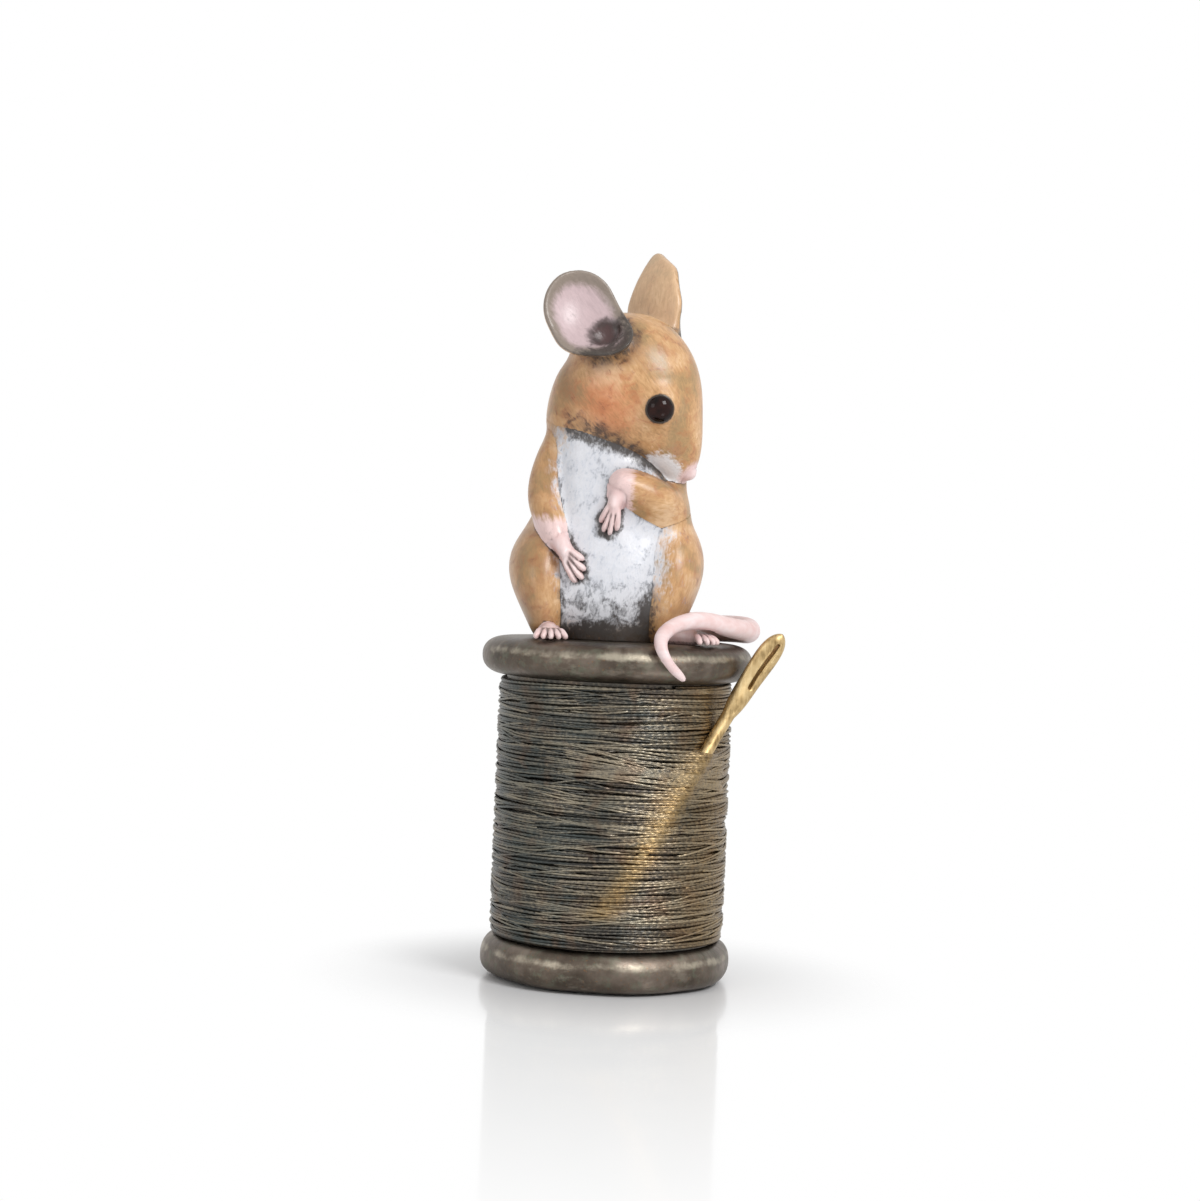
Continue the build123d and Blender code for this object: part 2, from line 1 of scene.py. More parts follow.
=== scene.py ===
import math
import bpy
import numpy as np
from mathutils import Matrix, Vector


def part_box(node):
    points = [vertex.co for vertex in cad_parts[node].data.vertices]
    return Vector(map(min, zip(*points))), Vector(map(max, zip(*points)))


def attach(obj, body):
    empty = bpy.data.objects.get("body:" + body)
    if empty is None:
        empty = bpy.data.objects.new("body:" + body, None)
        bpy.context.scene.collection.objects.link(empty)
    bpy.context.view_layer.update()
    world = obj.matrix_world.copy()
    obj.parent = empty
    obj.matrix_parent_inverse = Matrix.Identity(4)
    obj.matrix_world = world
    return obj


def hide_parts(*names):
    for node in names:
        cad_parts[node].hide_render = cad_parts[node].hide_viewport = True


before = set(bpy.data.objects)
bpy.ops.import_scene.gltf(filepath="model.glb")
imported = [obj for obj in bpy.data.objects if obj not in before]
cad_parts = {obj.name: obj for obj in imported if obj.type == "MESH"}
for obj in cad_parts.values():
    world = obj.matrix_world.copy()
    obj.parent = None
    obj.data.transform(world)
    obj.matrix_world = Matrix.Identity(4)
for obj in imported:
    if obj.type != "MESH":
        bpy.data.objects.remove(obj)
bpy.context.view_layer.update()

import openvdb as vdb
from mathutils import Matrix, Vector

# A painted bronze mouse that sits on a bronze reel of thread, with a needle under the turns.
# Sizes are in millimetres until a mesh is made, and heights of the mouse count from the reel's top.
mm = 0.001
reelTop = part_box("top_flange")[1].z / mm


def toLinear(hexColour):
    channels = [int(hexColour[i:i + 2], 16) / 255 for i in (1, 3, 5)]
    return [c / 12.92 if c <= 0.04045 else ((c + 0.055) / 1.055) ** 2.4 for c in channels] + [1.0]


def addNode(tree, kind, settings=None, links=None, out=0):
    node = tree.nodes.new("ShaderNode" + kind)
    for name, value in (settings or {}).items():
        if name == "stops":    # the two ends of a colour ramp, then what lies between
            ramp = node.color_ramp.elements
            for i, (place, tint) in enumerate(value):
                stop = ramp[i] if i < 2 else ramp.new(place)
                stop.position, stop.color = place, toLinear(tint)
        elif isinstance(name, str) and hasattr(node, name):
            setattr(node, name, value)
        else:
            node.inputs[name].default_value = value
    for name, source in (links or {}).items():
        tree.links.new(source, node.inputs[name])
    return node.outputs[out]


def newMaterial(name):
    material = bpy.data.materials.new(name)
    material.use_nodes = True
    return material, material.node_tree


def setShader(material, inputs):
    # A plain number or colour is set on its socket, and a pattern is linked to it
    tree = material.node_tree
    shader = tree.nodes["Principled BSDF"]
    for name, value in inputs.items():
        if isinstance(value, bpy.types.NodeSocket):
            tree.links.new(value, shader.inputs[name])
        else:
            shader.inputs[name].default_value = value
    return material


def inMillimetres(tree):
    place = addNode(tree, "TexCoord", out="Object")
    return addNode(tree, "VectorMath", {"operation": "SCALE", "Scale": 1 / mm}, {0: place})


def layCoat(tree, colour, tint, mask, low, high, strength, edge="SMOOTHSTEP"):
    cover = addNode(tree, "MapRange", {"interpolation_type": edge, "From Min": low, "From Max": high,
                    "To Max": strength}, {"Value": mask})
    return addNode(tree, "Mix", {"data_type": "RGBA", 7: toLinear(tint)}, {0: cover, 6: colour}, out=2)


def smoothStep(low, high, value):
    t = np.clip((value - low) / (high - low), 0, 1)
    return t * t * (3 - 2 * t)


def unit(vector):
    return np.asarray(vector, float) / np.linalg.norm(vector)


def onTop(place):
    return np.array(place) + (0, 0, reelTop)


def makePiece(name, points, quads, material, node, normals=None, paint=None):
    mesh = bpy.data.meshes.new(name)
    mesh.vertices.add(len(points))
    mesh.vertices.foreach_set("co", (np.asarray(points) * mm).astype(np.float32).ravel())
    mesh.loops.add(quads.size)
    mesh.loops.foreach_set("vertex_index", quads.ravel().astype(np.int32))
    mesh.polygons.add(len(quads))
    mesh.polygons.foreach_set("loop_start", np.arange(0, quads.size, 4, dtype=np.int32))
    mesh.update(calc_edges=True)
    mesh.validate()
    mesh.shade_smooth()
    for layer, values in (paint or {}).items():
        isVector = values.ndim == 2
        attribute = mesh.attributes.new(layer, "FLOAT_VECTOR" if isVector else "FLOAT", "POINT")
        attribute.data.foreach_set("vector" if isVector else "value", values.astype(np.float32).ravel())
    if normals is not None:
        mesh.normals_split_custom_set_from_vertices(normals)
    mesh.materials.append(material)
    piece = bpy.data.objects.new(name, mesh)
    bpy.context.scene.collection.objects.link(piece)
    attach(piece, "root")
    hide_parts(node)
    print("made", name, len(points))


# Camera, at the photograph's distance and angle
cameraSet = {
    "place": (-2.5, -300.0, 53.5),
    "aim": (-2.5, 0.0, 48.25),
    "lens": 70.0,
    "sensor": 36.0,
    "roll": 2.4,       # degrees
}


def makeCamera():
    data = bpy.data.cameras.new("camera")
    data.lens = cameraSet["lens"]
    data.sensor_width = cameraSet["sensor"]
    data.clip_start = 0.01
    data.clip_end = 20.0
    camera = bpy.data.objects.new("camera", data)
    bpy.context.scene.collection.objects.link(camera)
    place, aim = Vector(cameraSet["place"]) * mm, Vector(cameraSet["aim"]) * mm
    turn = (aim - place).to_track_quat("-Z", "Y").to_matrix().to_4x4()
    roll = Matrix.Rotation(math.radians(cameraSet["roll"]), 4, "Z")
    camera.matrix_world = Matrix.Translation(place) @ turn @ roll
    bpy.context.scene.camera = camera


makeCamera()
print("camera set")

# Shared sculpting grid: each casting is a field of signed distances read from its CAD solid
sculpt = {
    "voxel": 0.2,
    "band": 14,        # voxels kept on each side of a surface
    "margin": 2.0,
    "dive": 3.0,       # how steeply a casting sinks under its neighbour
    "earSoften": 3,    # passes that round the ears' thin edges
}
voxel = sculpt["voxel"]
castings = [
    "torso", "right_hind_leg", "left_hind_leg", "head", "right_arm", "left_arm", "right_ear", "left_ear",
    "tail", "right_forepaw", "left_forepaw", "right_hind_foot", "left_hind_foot", "nose",
]
ears = ("right_ear", "left_ear")
gridLow = np.min([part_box(name)[0] for name in castings], axis=0) / mm - sculpt["margin"]
gridHigh = np.max([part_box(name)[1] for name in castings], axis=0) / mm + sculpt["margin"]
gridFirst = np.floor(gridLow / voxel).astype(int)
gridShape = np.ceil(gridHigh / voxel).astype(int) - gridFirst
gridX, gridY, gridZ = np.meshgrid(
    *[((gridFirst[i] + np.arange(gridShape[i])) * voxel).astype(np.float32) for i in range(3)],
    indexing="ij", sparse=True)


def nodeTriangles(name):
    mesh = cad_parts[name].data
    mesh.calc_loop_triangles()
    points = np.empty(len(mesh.vertices) * 3, np.float32)
    mesh.vertices.foreach_get("co", points)
    triangles = np.empty(len(mesh.loop_triangles) * 3, np.int32)
    mesh.loop_triangles.foreach_get("vertices", triangles)
    return points.reshape(-1, 3) / np.float32(mm), triangles.reshape(-1, 3).astype(np.uint32)


def solidField(name, size, band, first, shape):
    points, triangles = nodeTriangles(name)
    level = vdb.FloatGrid.createLevelSetFromPolygons(
        points, triangles=triangles, transform=vdb.createLinearTransform(size), halfWidth=band)
    values = np.empty(shape, np.float32)
    level.copyToArray(values, ijk=tuple(int(i) for i in first))
    return values


def fieldSurface(values, size, band, first):
    level = vdb.FloatGrid(size * band)
    level.copyFromArray(np.ascontiguousarray(values), ijk=tuple(int(i) for i in first))
    level.transform = vdb.createLinearTransform(size)
    points, _, quads = level.convertToPolygons(0.0, 0.0)
    return points.astype(float), quads


def blend(a, b, radius):
    h = np.maximum(radius - np.abs(a - b), 0) / radius
    return np.minimum(a, b) - h * h * (radius / 4)


def carve(a, b, radius):
    return -blend(-a, b, radius)


def measure(centre, way):
    # Distance from a centre along a direction, all over the grid
    return (gridX - centre[0]) * way[0] + (gridY - centre[1]) * way[1] + (gridZ - centre[2]) * way[2]


def ball(centre, radius):
    return np.sqrt((gridX - centre[0]) ** 2 + (gridY - centre[1]) ** 2 + (gridZ - centre[2]) ** 2) - radius


def egg(centre, axes, sizes):
    total = sum((measure(centre, axis) / size) ** 2 for axis, size in zip(axes, sizes))
    return (np.sqrt(total) - 1) * min(sizes)


def sample(values, points):
    position = points / voxel - gridFirst
    base = np.clip(np.floor(position).astype(int), 0, gridShape - 2)
    share = np.clip(position - base, 0, 1)
    total = 0
    for corner in np.ndindex(2, 2, 2):
        weight = np.prod(np.where(corner, share, 1 - share), axis=-1)
        spot = base + corner
        total = total + weight * values[spot[..., 0], spot[..., 1], spot[..., 2]]
    return total


def soften(values, passes):
    for _ in range(passes):
        for axis in range(3):
            values = (np.roll(values, 1, axis) + 2 * values + np.roll(values, -1, axis)) / 4
    return values


def window(name, margin):
    low, high = (np.array(corner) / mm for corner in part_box(name))
    start = np.maximum(np.floor((low - margin) / voxel).astype(int) - gridFirst, 0)
    stop = np.minimum(np.ceil((high + margin) / voxel).astype(int) - gridFirst, gridShape)
    return start, tuple(slice(a, b) for a, b in zip(start, stop))


def spotsIn(cut):
    axes = [(gridFirst[i] + np.arange(cut[i].start, cut[i].stop)) * voxel for i in range(3)]
    return np.stack(np.meshgrid(*axes, indexing="ij"), axis=-1)


fields = {name: solidField(name, voxel, sculpt["band"], gridFirst, gridShape) for name in castings}
for name in ears:
    fields[name] = soften(fields[name], sculpt["earSoften"])
print("castings read", gridShape)

# The head's own directions, as its solid has them, and the lids round its eyes
headSet = {
    "centre": (-0.1, -2.6, 33.0),
    "nose": (0.59, -0.10, -0.80),
    "left": (0.28, 0.95, 0.12),
    "eyePlace": (5.9, 5.5, 2.75),
    "lidDroop": 0.35,     # how far the lids turn each eye's opening down
    "browSink": 1.2,      # a swelling round each eye that leaves its face open
    "browRadius": 2.82,
    "browFillet": 1.2,
    "lidRing": 1.72,
    "lidRise": 1.12,
    "lidRadius": 0.16,
    "lidFillet": 0.25,
}
noseWay = unit(headSet["nose"])
leftWay = unit(np.array(headSet["left"]) - noseWay * np.dot(headSet["left"], noseWay))
crownWay = np.cross(noseWay, leftWay)
headCentre = onTop(headSet["centre"])
eyeForward, eyeAside, eyeCrown = headSet["eyePlace"]
eyes = []
for side in (-1, 1):
    outward = unit(leftWay * side * eyeAside + crownWay * eyeCrown) - (0, 0, headSet["lidDroop"])
    eyeCentre = headCentre + noseWay * eyeForward + leftWay * side * eyeAside + crownWay * eyeCrown
    eyes.append((eyeCentre, unit(outward)))


def lidRing(centre, outward):
    along = measure(centre, outward)
    reach = np.sqrt(np.maximum(ball(centre, 0) ** 2 - along ** 2, 0))
    return np.hypot(reach - headSet["lidRing"], along - headSet["lidRise"]) - headSet["lidRadius"]


# Ears: root, way up, way out of the opening, and the circles that bound the blade
earSet = {
    "right_ear": {
        "root": (-2.9, -8.7, 37.6), "up": (-0.68, 0.10, 0.73), "opening": (0.10, -0.97, 0.15), "dish": 8.0,
        "circles": ((0.0, 0.0, 3.0), (-0.4, 4.9, 4.55), (-1.9, 2.8, 3.6)),
    },
    "left_ear": {
        "root": (2.9, 1.6, 38.6), "up": (0.0, 0.15, 0.99), "opening": (0.66, 0.75, 0.0), "dish": 14.0,
        "circles": ((0.0, 0.0, 3.2), (0.0, 4.2, 4.3), (-0.4, 7.6, 2.9), (1.0, 11.3, 0.8)),
    },
    "rightRise": 0.07,        # how much taller the right ear stands than its solid
    "dishHeight": 4.4,
    "canalPlace": (0.1, 0.6),
    "canalSize": (1.8, 1.65, 0.9),
    "canalLift": 0.35,
    "canalFillet": 0.4,
}


def earFrame(name):
    ear = earSet[name]
    up = unit(ear["up"])
    opening = unit(np.array(ear["opening"]) - up * np.dot(ear["opening"], up))
    return onTop(ear["root"]), np.cross(up, opening), up, opening


def canalCentre(name):
    root, aside, up, opening = earFrame(name)
    across, rise = earSet["canalPlace"]
    dish = earSet[name]["dish"]
    sink = dish - math.sqrt(dish ** 2 - (earSet["dishHeight"] - rise) ** 2)
    return root + aside * across + up * rise + opening * (sink + earSet["canalLift"])


def raiseEar(name, share):
    # Draws the blade taller from its root
    rootHeight = earFrame(name)[0][2]
    _, cut = window(name, sculpt["margin"])
    spots = spotsIn(cut)
    spots[..., 2] -= share * np.maximum(spots[..., 2] - rootHeight, 0)
    fields[name][cut] = sample(fields[name], spots)


# Fingers and toes: the knuckles they spread from and their tips, with a groove between neighbours
digitSet = {
    "right_forepaw": (
        (-7.5, -7.9, 11.7),
        ((-4.95, -8.81, 10.6), (-4.88, -9.0, 9.3), (-5.32, -8.98, 8.1), (-6.24, -8.63, 7.5))),
    "left_forepaw": (
        (-0.9, -8.55, 17.9),
        ((-3.4, -8.45, 15.2), (-2.64, -8.68, 13.9), (-1.45, -8.79, 13.4), (-0.2, -8.64, 13.9))),
    "right_hind_foot": (
        (-8.65, -10.0, 0.9),
        ((-10.13, -12.5, 0.55), (-9.27, -12.91, 0.55), (-8.33, -12.99, 0.55), (-7.42, -12.72, 0.55),
         (-6.67, -12.14, 0.55))),
    "left_hind_foot": (
        (9.3, -8.7, 0.9),
        ((10.05, -11.46, 0.55), (10.94, -11.13, 0.55), (11.65, -10.5, 0.55), (12.09, -9.66, 0.55),
         (12.19, -8.72, 0.55))),
    "narrower": {"right_forepaw": 0.3, "left_forepaw": 0.42},
    "shorter": {"right_forepaw": 0.0, "left_forepaw": 0.12},
    "margin": 1.0,
    "knuckle": 1.4,             # the fingers draw together over this far on each side of the knuckles
    "plump": 0.26,
    "plumpEdge": (0.4, 1.6),
    "grooveDepth": 0.34,
    "grooveWidth": 0.27,
    "grooveEdge": (0.4, 0.62),  # share of a digit's length where its groove begins
    "reach": 2.2,
    "reachEdge": 0.8,
    "ownEdge": 0.5,
    "creviceShare": 0.6,
    "grooveShade": 0.8,
}
paws = ("right_forepaw", "left_forepaw", "right_hind_foot", "left_hind_foot")


def digitFrame(name):
    root, tips = (onTop(places) for places in digitSet[name])
    return root, tips, unit(tips.mean(axis=0) - root)


def openHand(name, points):
    # Where a place on the drawn-together hand lies on the hand of the solid, with its fingers spread
    root, tips, along = digitFrame(name)
    across = tips[0] - tips[-1]
    across = unit(across - along * (across @ along))
    far, wide = (points - root) @ along, (points - root) @ across
    share = smoothStep(-digitSet["knuckle"], digitSet["knuckle"], far)
    wider = wide / (1 - digitSet["narrower"].get(name, 0) * share) - wide
    longer = np.maximum(far, 0) * digitSet["shorter"].get(name, 0)
    return points + across * wider[..., None] + along * longer[..., None]


def closeHand(name):
    _, cut = window(name, digitSet["margin"])
    spots = openHand(name, spotsIn(cut))
    root, _, along = digitFrame(name)
    plump = digitSet["plump"] * smoothStep(*digitSet["plumpEdge"], (spots - root) @ along)
    squeeze = 1 - digitSet["narrower"][name] / 2    # a squeezed field is that much less steep
    fields[name][cut] = sample(fields[name], spots) * squeeze - plump


def digitGroove(name, points):
    # One in the furrow between two neighbouring digits, nought on their backs
    root, tips, _ = digitFrame(name)
    points = openHand(name, points)
    gaps, shares = [], []
    for tip in tips:
        way = tip - root
        share = np.clip((points - root) @ way / (way @ way), 0, 1)
        gaps.append(np.linalg.norm(points - root - share[..., None] * way, axis=-1))
        shares.append(share)
    nearest, following = np.sort(np.stack(gaps), axis=0)[:2]
    furrow = np.exp(-((following - nearest) / digitSet["grooveWidth"]) ** 2)
    furrow = furrow * smoothStep(*digitSet["grooveEdge"], np.max(shares, axis=0))
    return furrow * (1 - smoothStep(digitSet["reach"] - digitSet["reachEdge"], digitSet["reach"], nearest))


# Soft fillets where each casting meets those before it, in mm, and how much wider they are at the nape
joinSet = {
    "fillets": {
        "right_hind_leg": 2.0, "left_hind_leg": 2.6, "head": 0.7, "right_arm": 1.2, "left_arm": 3.0,
        "right_ear": 1.8, "left_ear": 2.0, "tail": 0.6, "right_forepaw": 0.15, "left_forepaw": 0.15,
        "right_hind_foot": 0.2, "left_hind_foot": 0.2, "nose": 0.5,
    },
    "atNape": {"head": 3.6, "tail": 1.6},
    "napeBack": (-5.0, 2.0),
    "napeSide": (-9.5, -6.0),
}


def joinCastings():
    nape = np.maximum(smoothStep(*joinSet["napeBack"], gridY), 1 - smoothStep(*joinSet["napeSide"], gridX))
    raiseEar("right_ear", earSet["rightRise"])
    for name in digitSet["narrower"]:
        closeHand(name)
    whole = fields["torso"]
    for name, radius in joinSet["fillets"].items():
        wider = joinSet["atNape"].get(name)
        whole = blend(whole, fields[name], radius + wider * nape if wider else radius)
    for centre, outward in eyes:
        brow = ball(centre - outward * headSet["browSink"], headSet["browRadius"])
        whole = blend(whole, brow, headSet["browFillet"])
        whole = blend(whole, lidRing(centre, outward), headSet["lidFillet"])
    for name in ears:
        _, *axes = earFrame(name)
        whole = carve(whole, egg(canalCentre(name), axes, earSet["canalSize"]), earSet["canalFillet"])
    for name in paws:
        _, cut = window(name, digitSet["margin"])
        own = 1 - smoothStep(0.0, digitSet["ownEdge"], fields[name][cut])
        whole[cut] += digitSet["grooveDepth"] * own * digitGroove(name, spotsIn(cut))
    return whole


common = joinCastings()
lowest = np.full(gridShape, 1e3, np.float32)
second = lowest.copy()
for values in fields.values():
    second = np.minimum(second, np.maximum(lowest, values))
    lowest = np.minimum(lowest, values)
slopes = np.gradient(common, voxel)
print("castings joined")


def castingSurface(name):
    # The joined surface where this casting is the nearest, diving under its neighbours elsewhere
    own = fields[name]
    others = np.where(own <= lowest, second, lowest)
    field = common + sculpt["dive"] * np.maximum(own - others, 0)
    start, cut = window(name, sculpt["margin"])
    points, quads = fieldSurface(field[cut], voxel, sculpt["band"], gridFirst + start)
    normals = np.stack([sample(slope, points) for slope in slopes], axis=1)
    return points, quads, normals / np.linalg.norm(normals, axis=1)[:, None]


# Paint: masks in mm, positive where a coat lies, feathered by the brush strokes in the materials
paintSet = {
    "strokeWidth": 0.34,         # as the brushed hairs of the coat
    "strokeShrink": 0.25,        # strokes are four times as long as wide
    "bellyShrink": 0.5,
    "smudgeWidth": 1.6,
    "patchWidth": 5.0,
    "mottleWidth": 1.25,         # on bare skin
    "poreWidth": 0.33333,
    "noCoat": -9.0,
    "crevice": 0.5,              # the dark wash of painted shade stays where another surface is this near
    "creviceShade": 0.9,
    "creviceEdge": (0.35, 0.85),
    "hollow": 1.8,               # and the tan is shaded this far out
    "hollowEdge": (0.2, 0.8),
    "lowEdge": (3.0, 9.0),       # heights over which the painted shade round the seat fades
    "throatEdge": (-9.5, -7.0),  # where the painted shade of the dark jaw line begins, going across
    "shadeWashMiddle": 0.55,
    "shadeWashGain": 2.4,
    "shadeMiddle": 0.5,
    "shadeGain": 1.6,
    "tuftInset": 1.0,
    "tuftLevel": -0.35,          # grey tufts show where the strokes lift the mask above nought
}
coatNames = ("belly", "bellyEdge", "chin", "blush", "skin", "nosePink", "earInside", "earPink", "canal",
             "canalRim", "earBack", "lid")
furWays = {
    "torso": (0.1, 0.0, 1.0), "head": headSet["nose"], "right_ear": earSet["right_ear"]["up"],
    "left_ear": earSet["left_ear"]["up"], "right_arm": (0.25, -0.45, -1.0), "left_arm": (-0.9, -0.5, 0.0),
    "right_hind_leg": (0.15, -0.3, -1.0), "left_hind_leg": (-0.15, -0.3, -1.0), "tail": (1.0, 0.0, 0.0),
}
bellySet = {
    "axis": (-1.9, 0.6),
    "bearing": -96.0,            # middle of the white front, and how far it reaches to each side
    "spread": 53.0,
    "height": 14.0,
    "rise": 14.2,
    "fullness": 3.5,             # power of its rounded outline
    "depth": 8.0,
}
flangeFace = 14.1                # the top flange is flat out to here


def near(other, points, strength, reach):
    return strength * (1 - smoothStep(0, reach, sample(fields[other], points)))


def crowding(points, normals, reach):
    # How much of a short probe out of the surface is taken up by a neighbour or by the reel
    probe = points + normals * reach
    overReel = np.hypot(points[:, 0], points[:, 1]) < flangeFace
    room = np.minimum(sample(common, probe), np.where(overReel, probe[:, 2] - reelTop, reach))
    return np.clip(1 - room / reach, 0, 1)


def bellyReach(points):
    axis, power = bellySet["axis"], bellySet["fullness"]
    bearing = np.degrees(np.arctan2(points[:, 1] - axis[1], points[:, 0] - axis[0]))
    turn = np.abs((bearing - bellySet["bearing"] + 180) % 360 - 180) / bellySet["spread"]
    rise = np.abs(points[:, 2] - reelTop - bellySet["height"]) / bellySet["rise"]
    return bellySet["depth"] * (1 - (turn ** power + rise ** power) ** (1 / power))


def lowDown(points):
    return 1 - smoothStep(*paintSet["lowEdge"], points[:, 2] - reelTop)


torsoPaint = {
    "edge": 0.9,                 # half width of the grey border round the white
    "edgeShift": 0.2,
    "frontEdge": (-0.5, 0.3),
    "jaw": (0.92, 2.4),          # strength of the painted shade under the head and its reach in mm
    "beside": (                  # neighbour, painted shade, more of it low down, reach, on the front alone
        ("right_forepaw", 0.75, 0.0, 1.1, False),
        ("left_forepaw", 0.95, 0.0, 1.2, False),
        ("right_arm", 0.45, 0.0, 1.2, True),
        ("left_arm", 0.6, 0.0, 1.6, True),
        ("right_hind_leg", 0.38, 0.6, 2.2, False),
        ("left_hind_leg", 0.2, 1.1, 4.0, False),
    ),
    # painted shade low on the body where it sits on the reel, lighter behind, and a fainter one higher up
    "seat": 1.1,
    "seatEdge": (0.7, 4.4),
    "seatBehind": 0.6,
    "bottomShade": 0.46,
    "bottomShadeEdge": (4.0, 9.5),
}


def paintTorso(name, points, normals, layers, wash):
    height = points[:, 2] - reelTop
    layers["belly"] = bellyReach(points)
    layers["bellyEdge"] = torsoPaint["edge"] - np.abs(layers["belly"] + torsoPaint["edgeShift"])
    front = 1 - smoothStep(*torsoPaint["frontEdge"], normals[:, 1])
    throat = front * smoothStep(*paintSet["throatEdge"], points[:, 0])
    edges = [wash, near("head", points, *torsoPaint["jaw"]) * throat]
    for other, strength, lower, reach, isFront in torsoPaint["beside"]:
        edge = near(other, points, strength + lower * lowDown(points), reach)
        edges.append(edge * front if isFront else edge)
    behind = torsoPaint["seatBehind"]
    edges.append(torsoPaint["seat"] * (1 - smoothStep(*torsoPaint["seatEdge"], height))
                 * (behind + (1 - behind) * front))
    edges.append(torsoPaint["bottomShade"] * (1 - smoothStep(*torsoPaint["bottomShadeEdge"], height)))
    return np.max(edges, axis=0)


# Painted shade on the hind legs: against the body, stronger low down, and round the soles
legPaint = {
    "right_hind_leg": {"inner": 1.4, "overlap": 0.4, "bellyFoot": 8.0},
    "left_hind_leg": {"inner": 2.4, "overlap": 1.5, "bellyFoot": 7.0},
    "bellyInset": 0.4,
    "bellySlope": 0.6,
    "innerShade": 0.38,
    "lowShade": 0.57,
    "soleShade": 0.8,
    "soleEdge": (0.4, 2.0),
}


def paintLeg(name, points, normals, layers, wash):
    leg = legPaint[name]
    height = points[:, 2] - reelTop
    layers["belly"] = np.min([
        leg["overlap"] - sample(fields["torso"], points),
        bellyReach(points) - legPaint["bellyInset"],
        legPaint["bellySlope"] * (height - leg["bellyFoot"]),
    ], axis=0)
    inner = legPaint["innerShade"] + legPaint["lowShade"] * lowDown(points)
    sole = legPaint["soleShade"] * (1 - smoothStep(*legPaint["soleEdge"], height))
    return np.max([wash, near("torso", points, inner, leg["inner"]), sole], axis=0)


headPaint = {
    "chinPlace": (12.2, -1.7),
    "chinSize": (2.4, 1.7),
    "chinGain": 1.8,
    "noseReach": 1.75,
    "blushPlace": (-3.6, -11.0, 28.6),
    "blushSize": 4.2,
    "lidEdge": 0.14,
    "canalReach": 1.6,
    "canalGain": 1.5,
    "rightEar": (0.9, 3.2),      # strength of the painted shade and its reach in mm
    "leftEar": (0.92, 3.0),      # behind the left ear, on the side of its hollow
    "leftEarShade": (0.45, 0.8),
    "earShadeBehind": 0.5,
    "behindEdge": (-1.0, 0.8),
    "jaw": (0.88, 2.5),
    "jawEdge": (-8.0, -4.0),
}


def paintHead(name, points, normals, layers, wash):
    spot = np.stack([(points - headCentre) @ noseWay, (points - headCentre) @ crownWay], axis=1)
    chin = np.linalg.norm((spot - headPaint["chinPlace"]) / headPaint["chinSize"], axis=1)
    layers["chin"] = headPaint["chinGain"] * (1 - chin)
    blush = np.linalg.norm(points - onTop(headPaint["blushPlace"]), axis=1)
    layers["blush"] = headPaint["blushSize"] - blush
    noseTip = np.mean([np.array(corner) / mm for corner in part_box("nose")], axis=0)
    layers["nosePink"] = headPaint["noseReach"] - np.linalg.norm(points - noseTip, axis=1)
    for centre, outward in eyes:
        rise = (points - centre) @ outward
        reach = np.linalg.norm(points - centre - np.outer(rise, outward), axis=1)
        lid = np.where(rise > 0, headSet["lidRing"] + headPaint["lidEdge"] - reach, paintSet["noCoat"])
        layers["lid"] = np.maximum(layers["lid"], lid)
    for ear in ears:
        _, *axes = earFrame(ear)
        offset = (points - canalCentre(ear)) @ np.transpose(axes)
        hollow = np.linalg.norm(offset / earSet["canalSize"], axis=1)
        hollow = headPaint["canalGain"] * (headPaint["canalReach"] - hollow)
        layers["canal"] = np.maximum(layers["canal"], hollow)
    leftRoot, _, _, leftOpening = earFrame("left_ear")
    behind = smoothStep(*headPaint["behindEdge"], (points - leftRoot) @ leftOpening)
    earShade, earShadeReach = headPaint["leftEarShade"]
    throat = smoothStep(*paintSet["throatEdge"], points[:, 0])
    throat = throat * (1 - smoothStep(*headPaint["jawEdge"], points[:, 1]))
    # Painted shade under both ears, behind the left ear, and along the jaw
    return np.max([
        wash,
        near("right_ear", points, *headPaint["rightEar"]),
        near("left_ear", points, earShade + headPaint["earShadeBehind"] * behind, earShadeReach),
        near("left_ear", points, *headPaint["leftEar"]) * behind,
        near("torso", points, *headPaint["jaw"]) * throat,
    ], axis=0)


armPaint = {
    "rightSleeve": 15.2,         # height where the right forearm turns pink
    "leftSleeve": 1.0,           # distance across where the left one does
    "bellyOverlap": 0.2,
    "bellyTop": 21.0,
    "bellySlope": 0.5,
    "creviceShare": 0.6,
    "torso": (0.3, 0.7),         # strength of the painted shade and its reach in mm
    "head": (0.75, 1.6),
}


def paintArm(name, points, normals, layers, wash):
    height = points[:, 2] - reelTop
    if name == "right_arm":
        layers["skin"] = armPaint["rightSleeve"] - height
        layers["belly"] = np.minimum(armPaint["bellyOverlap"] - sample(fields["torso"], points),
                                     armPaint["bellySlope"] * (armPaint["bellyTop"] - height))
    else:
        layers["skin"] = armPaint["leftSleeve"] - points[:, 0]
    # painted shade where the arm meets the torso and the head
    beside = [near(other, points, *armPaint[other]) for other in ("torso", "head")]
    return np.max([armPaint["creviceShare"] * wash, *beside], axis=0)


earPaint = {
    "rim": 1.15,
    "turnIn": 0.15,              # the inside begins where the surface faces the opening by this much
    "insideGain": 3.0,
    "canalGain": 1.6,
    "canalRim": 0.45,
    "backInset": 0.5,
    "creviceShare": 0.4,
    "rootShade": 0.95,
    "rootEdge": (0.8, 2.8),
    "rootRise": (-1.0, 2.6),
    "backShade": 0.95,
    "backRise": (0.5, 5.5),
    "backEdge": (-0.5, 0.5),
    "outlineWays": 96,
}


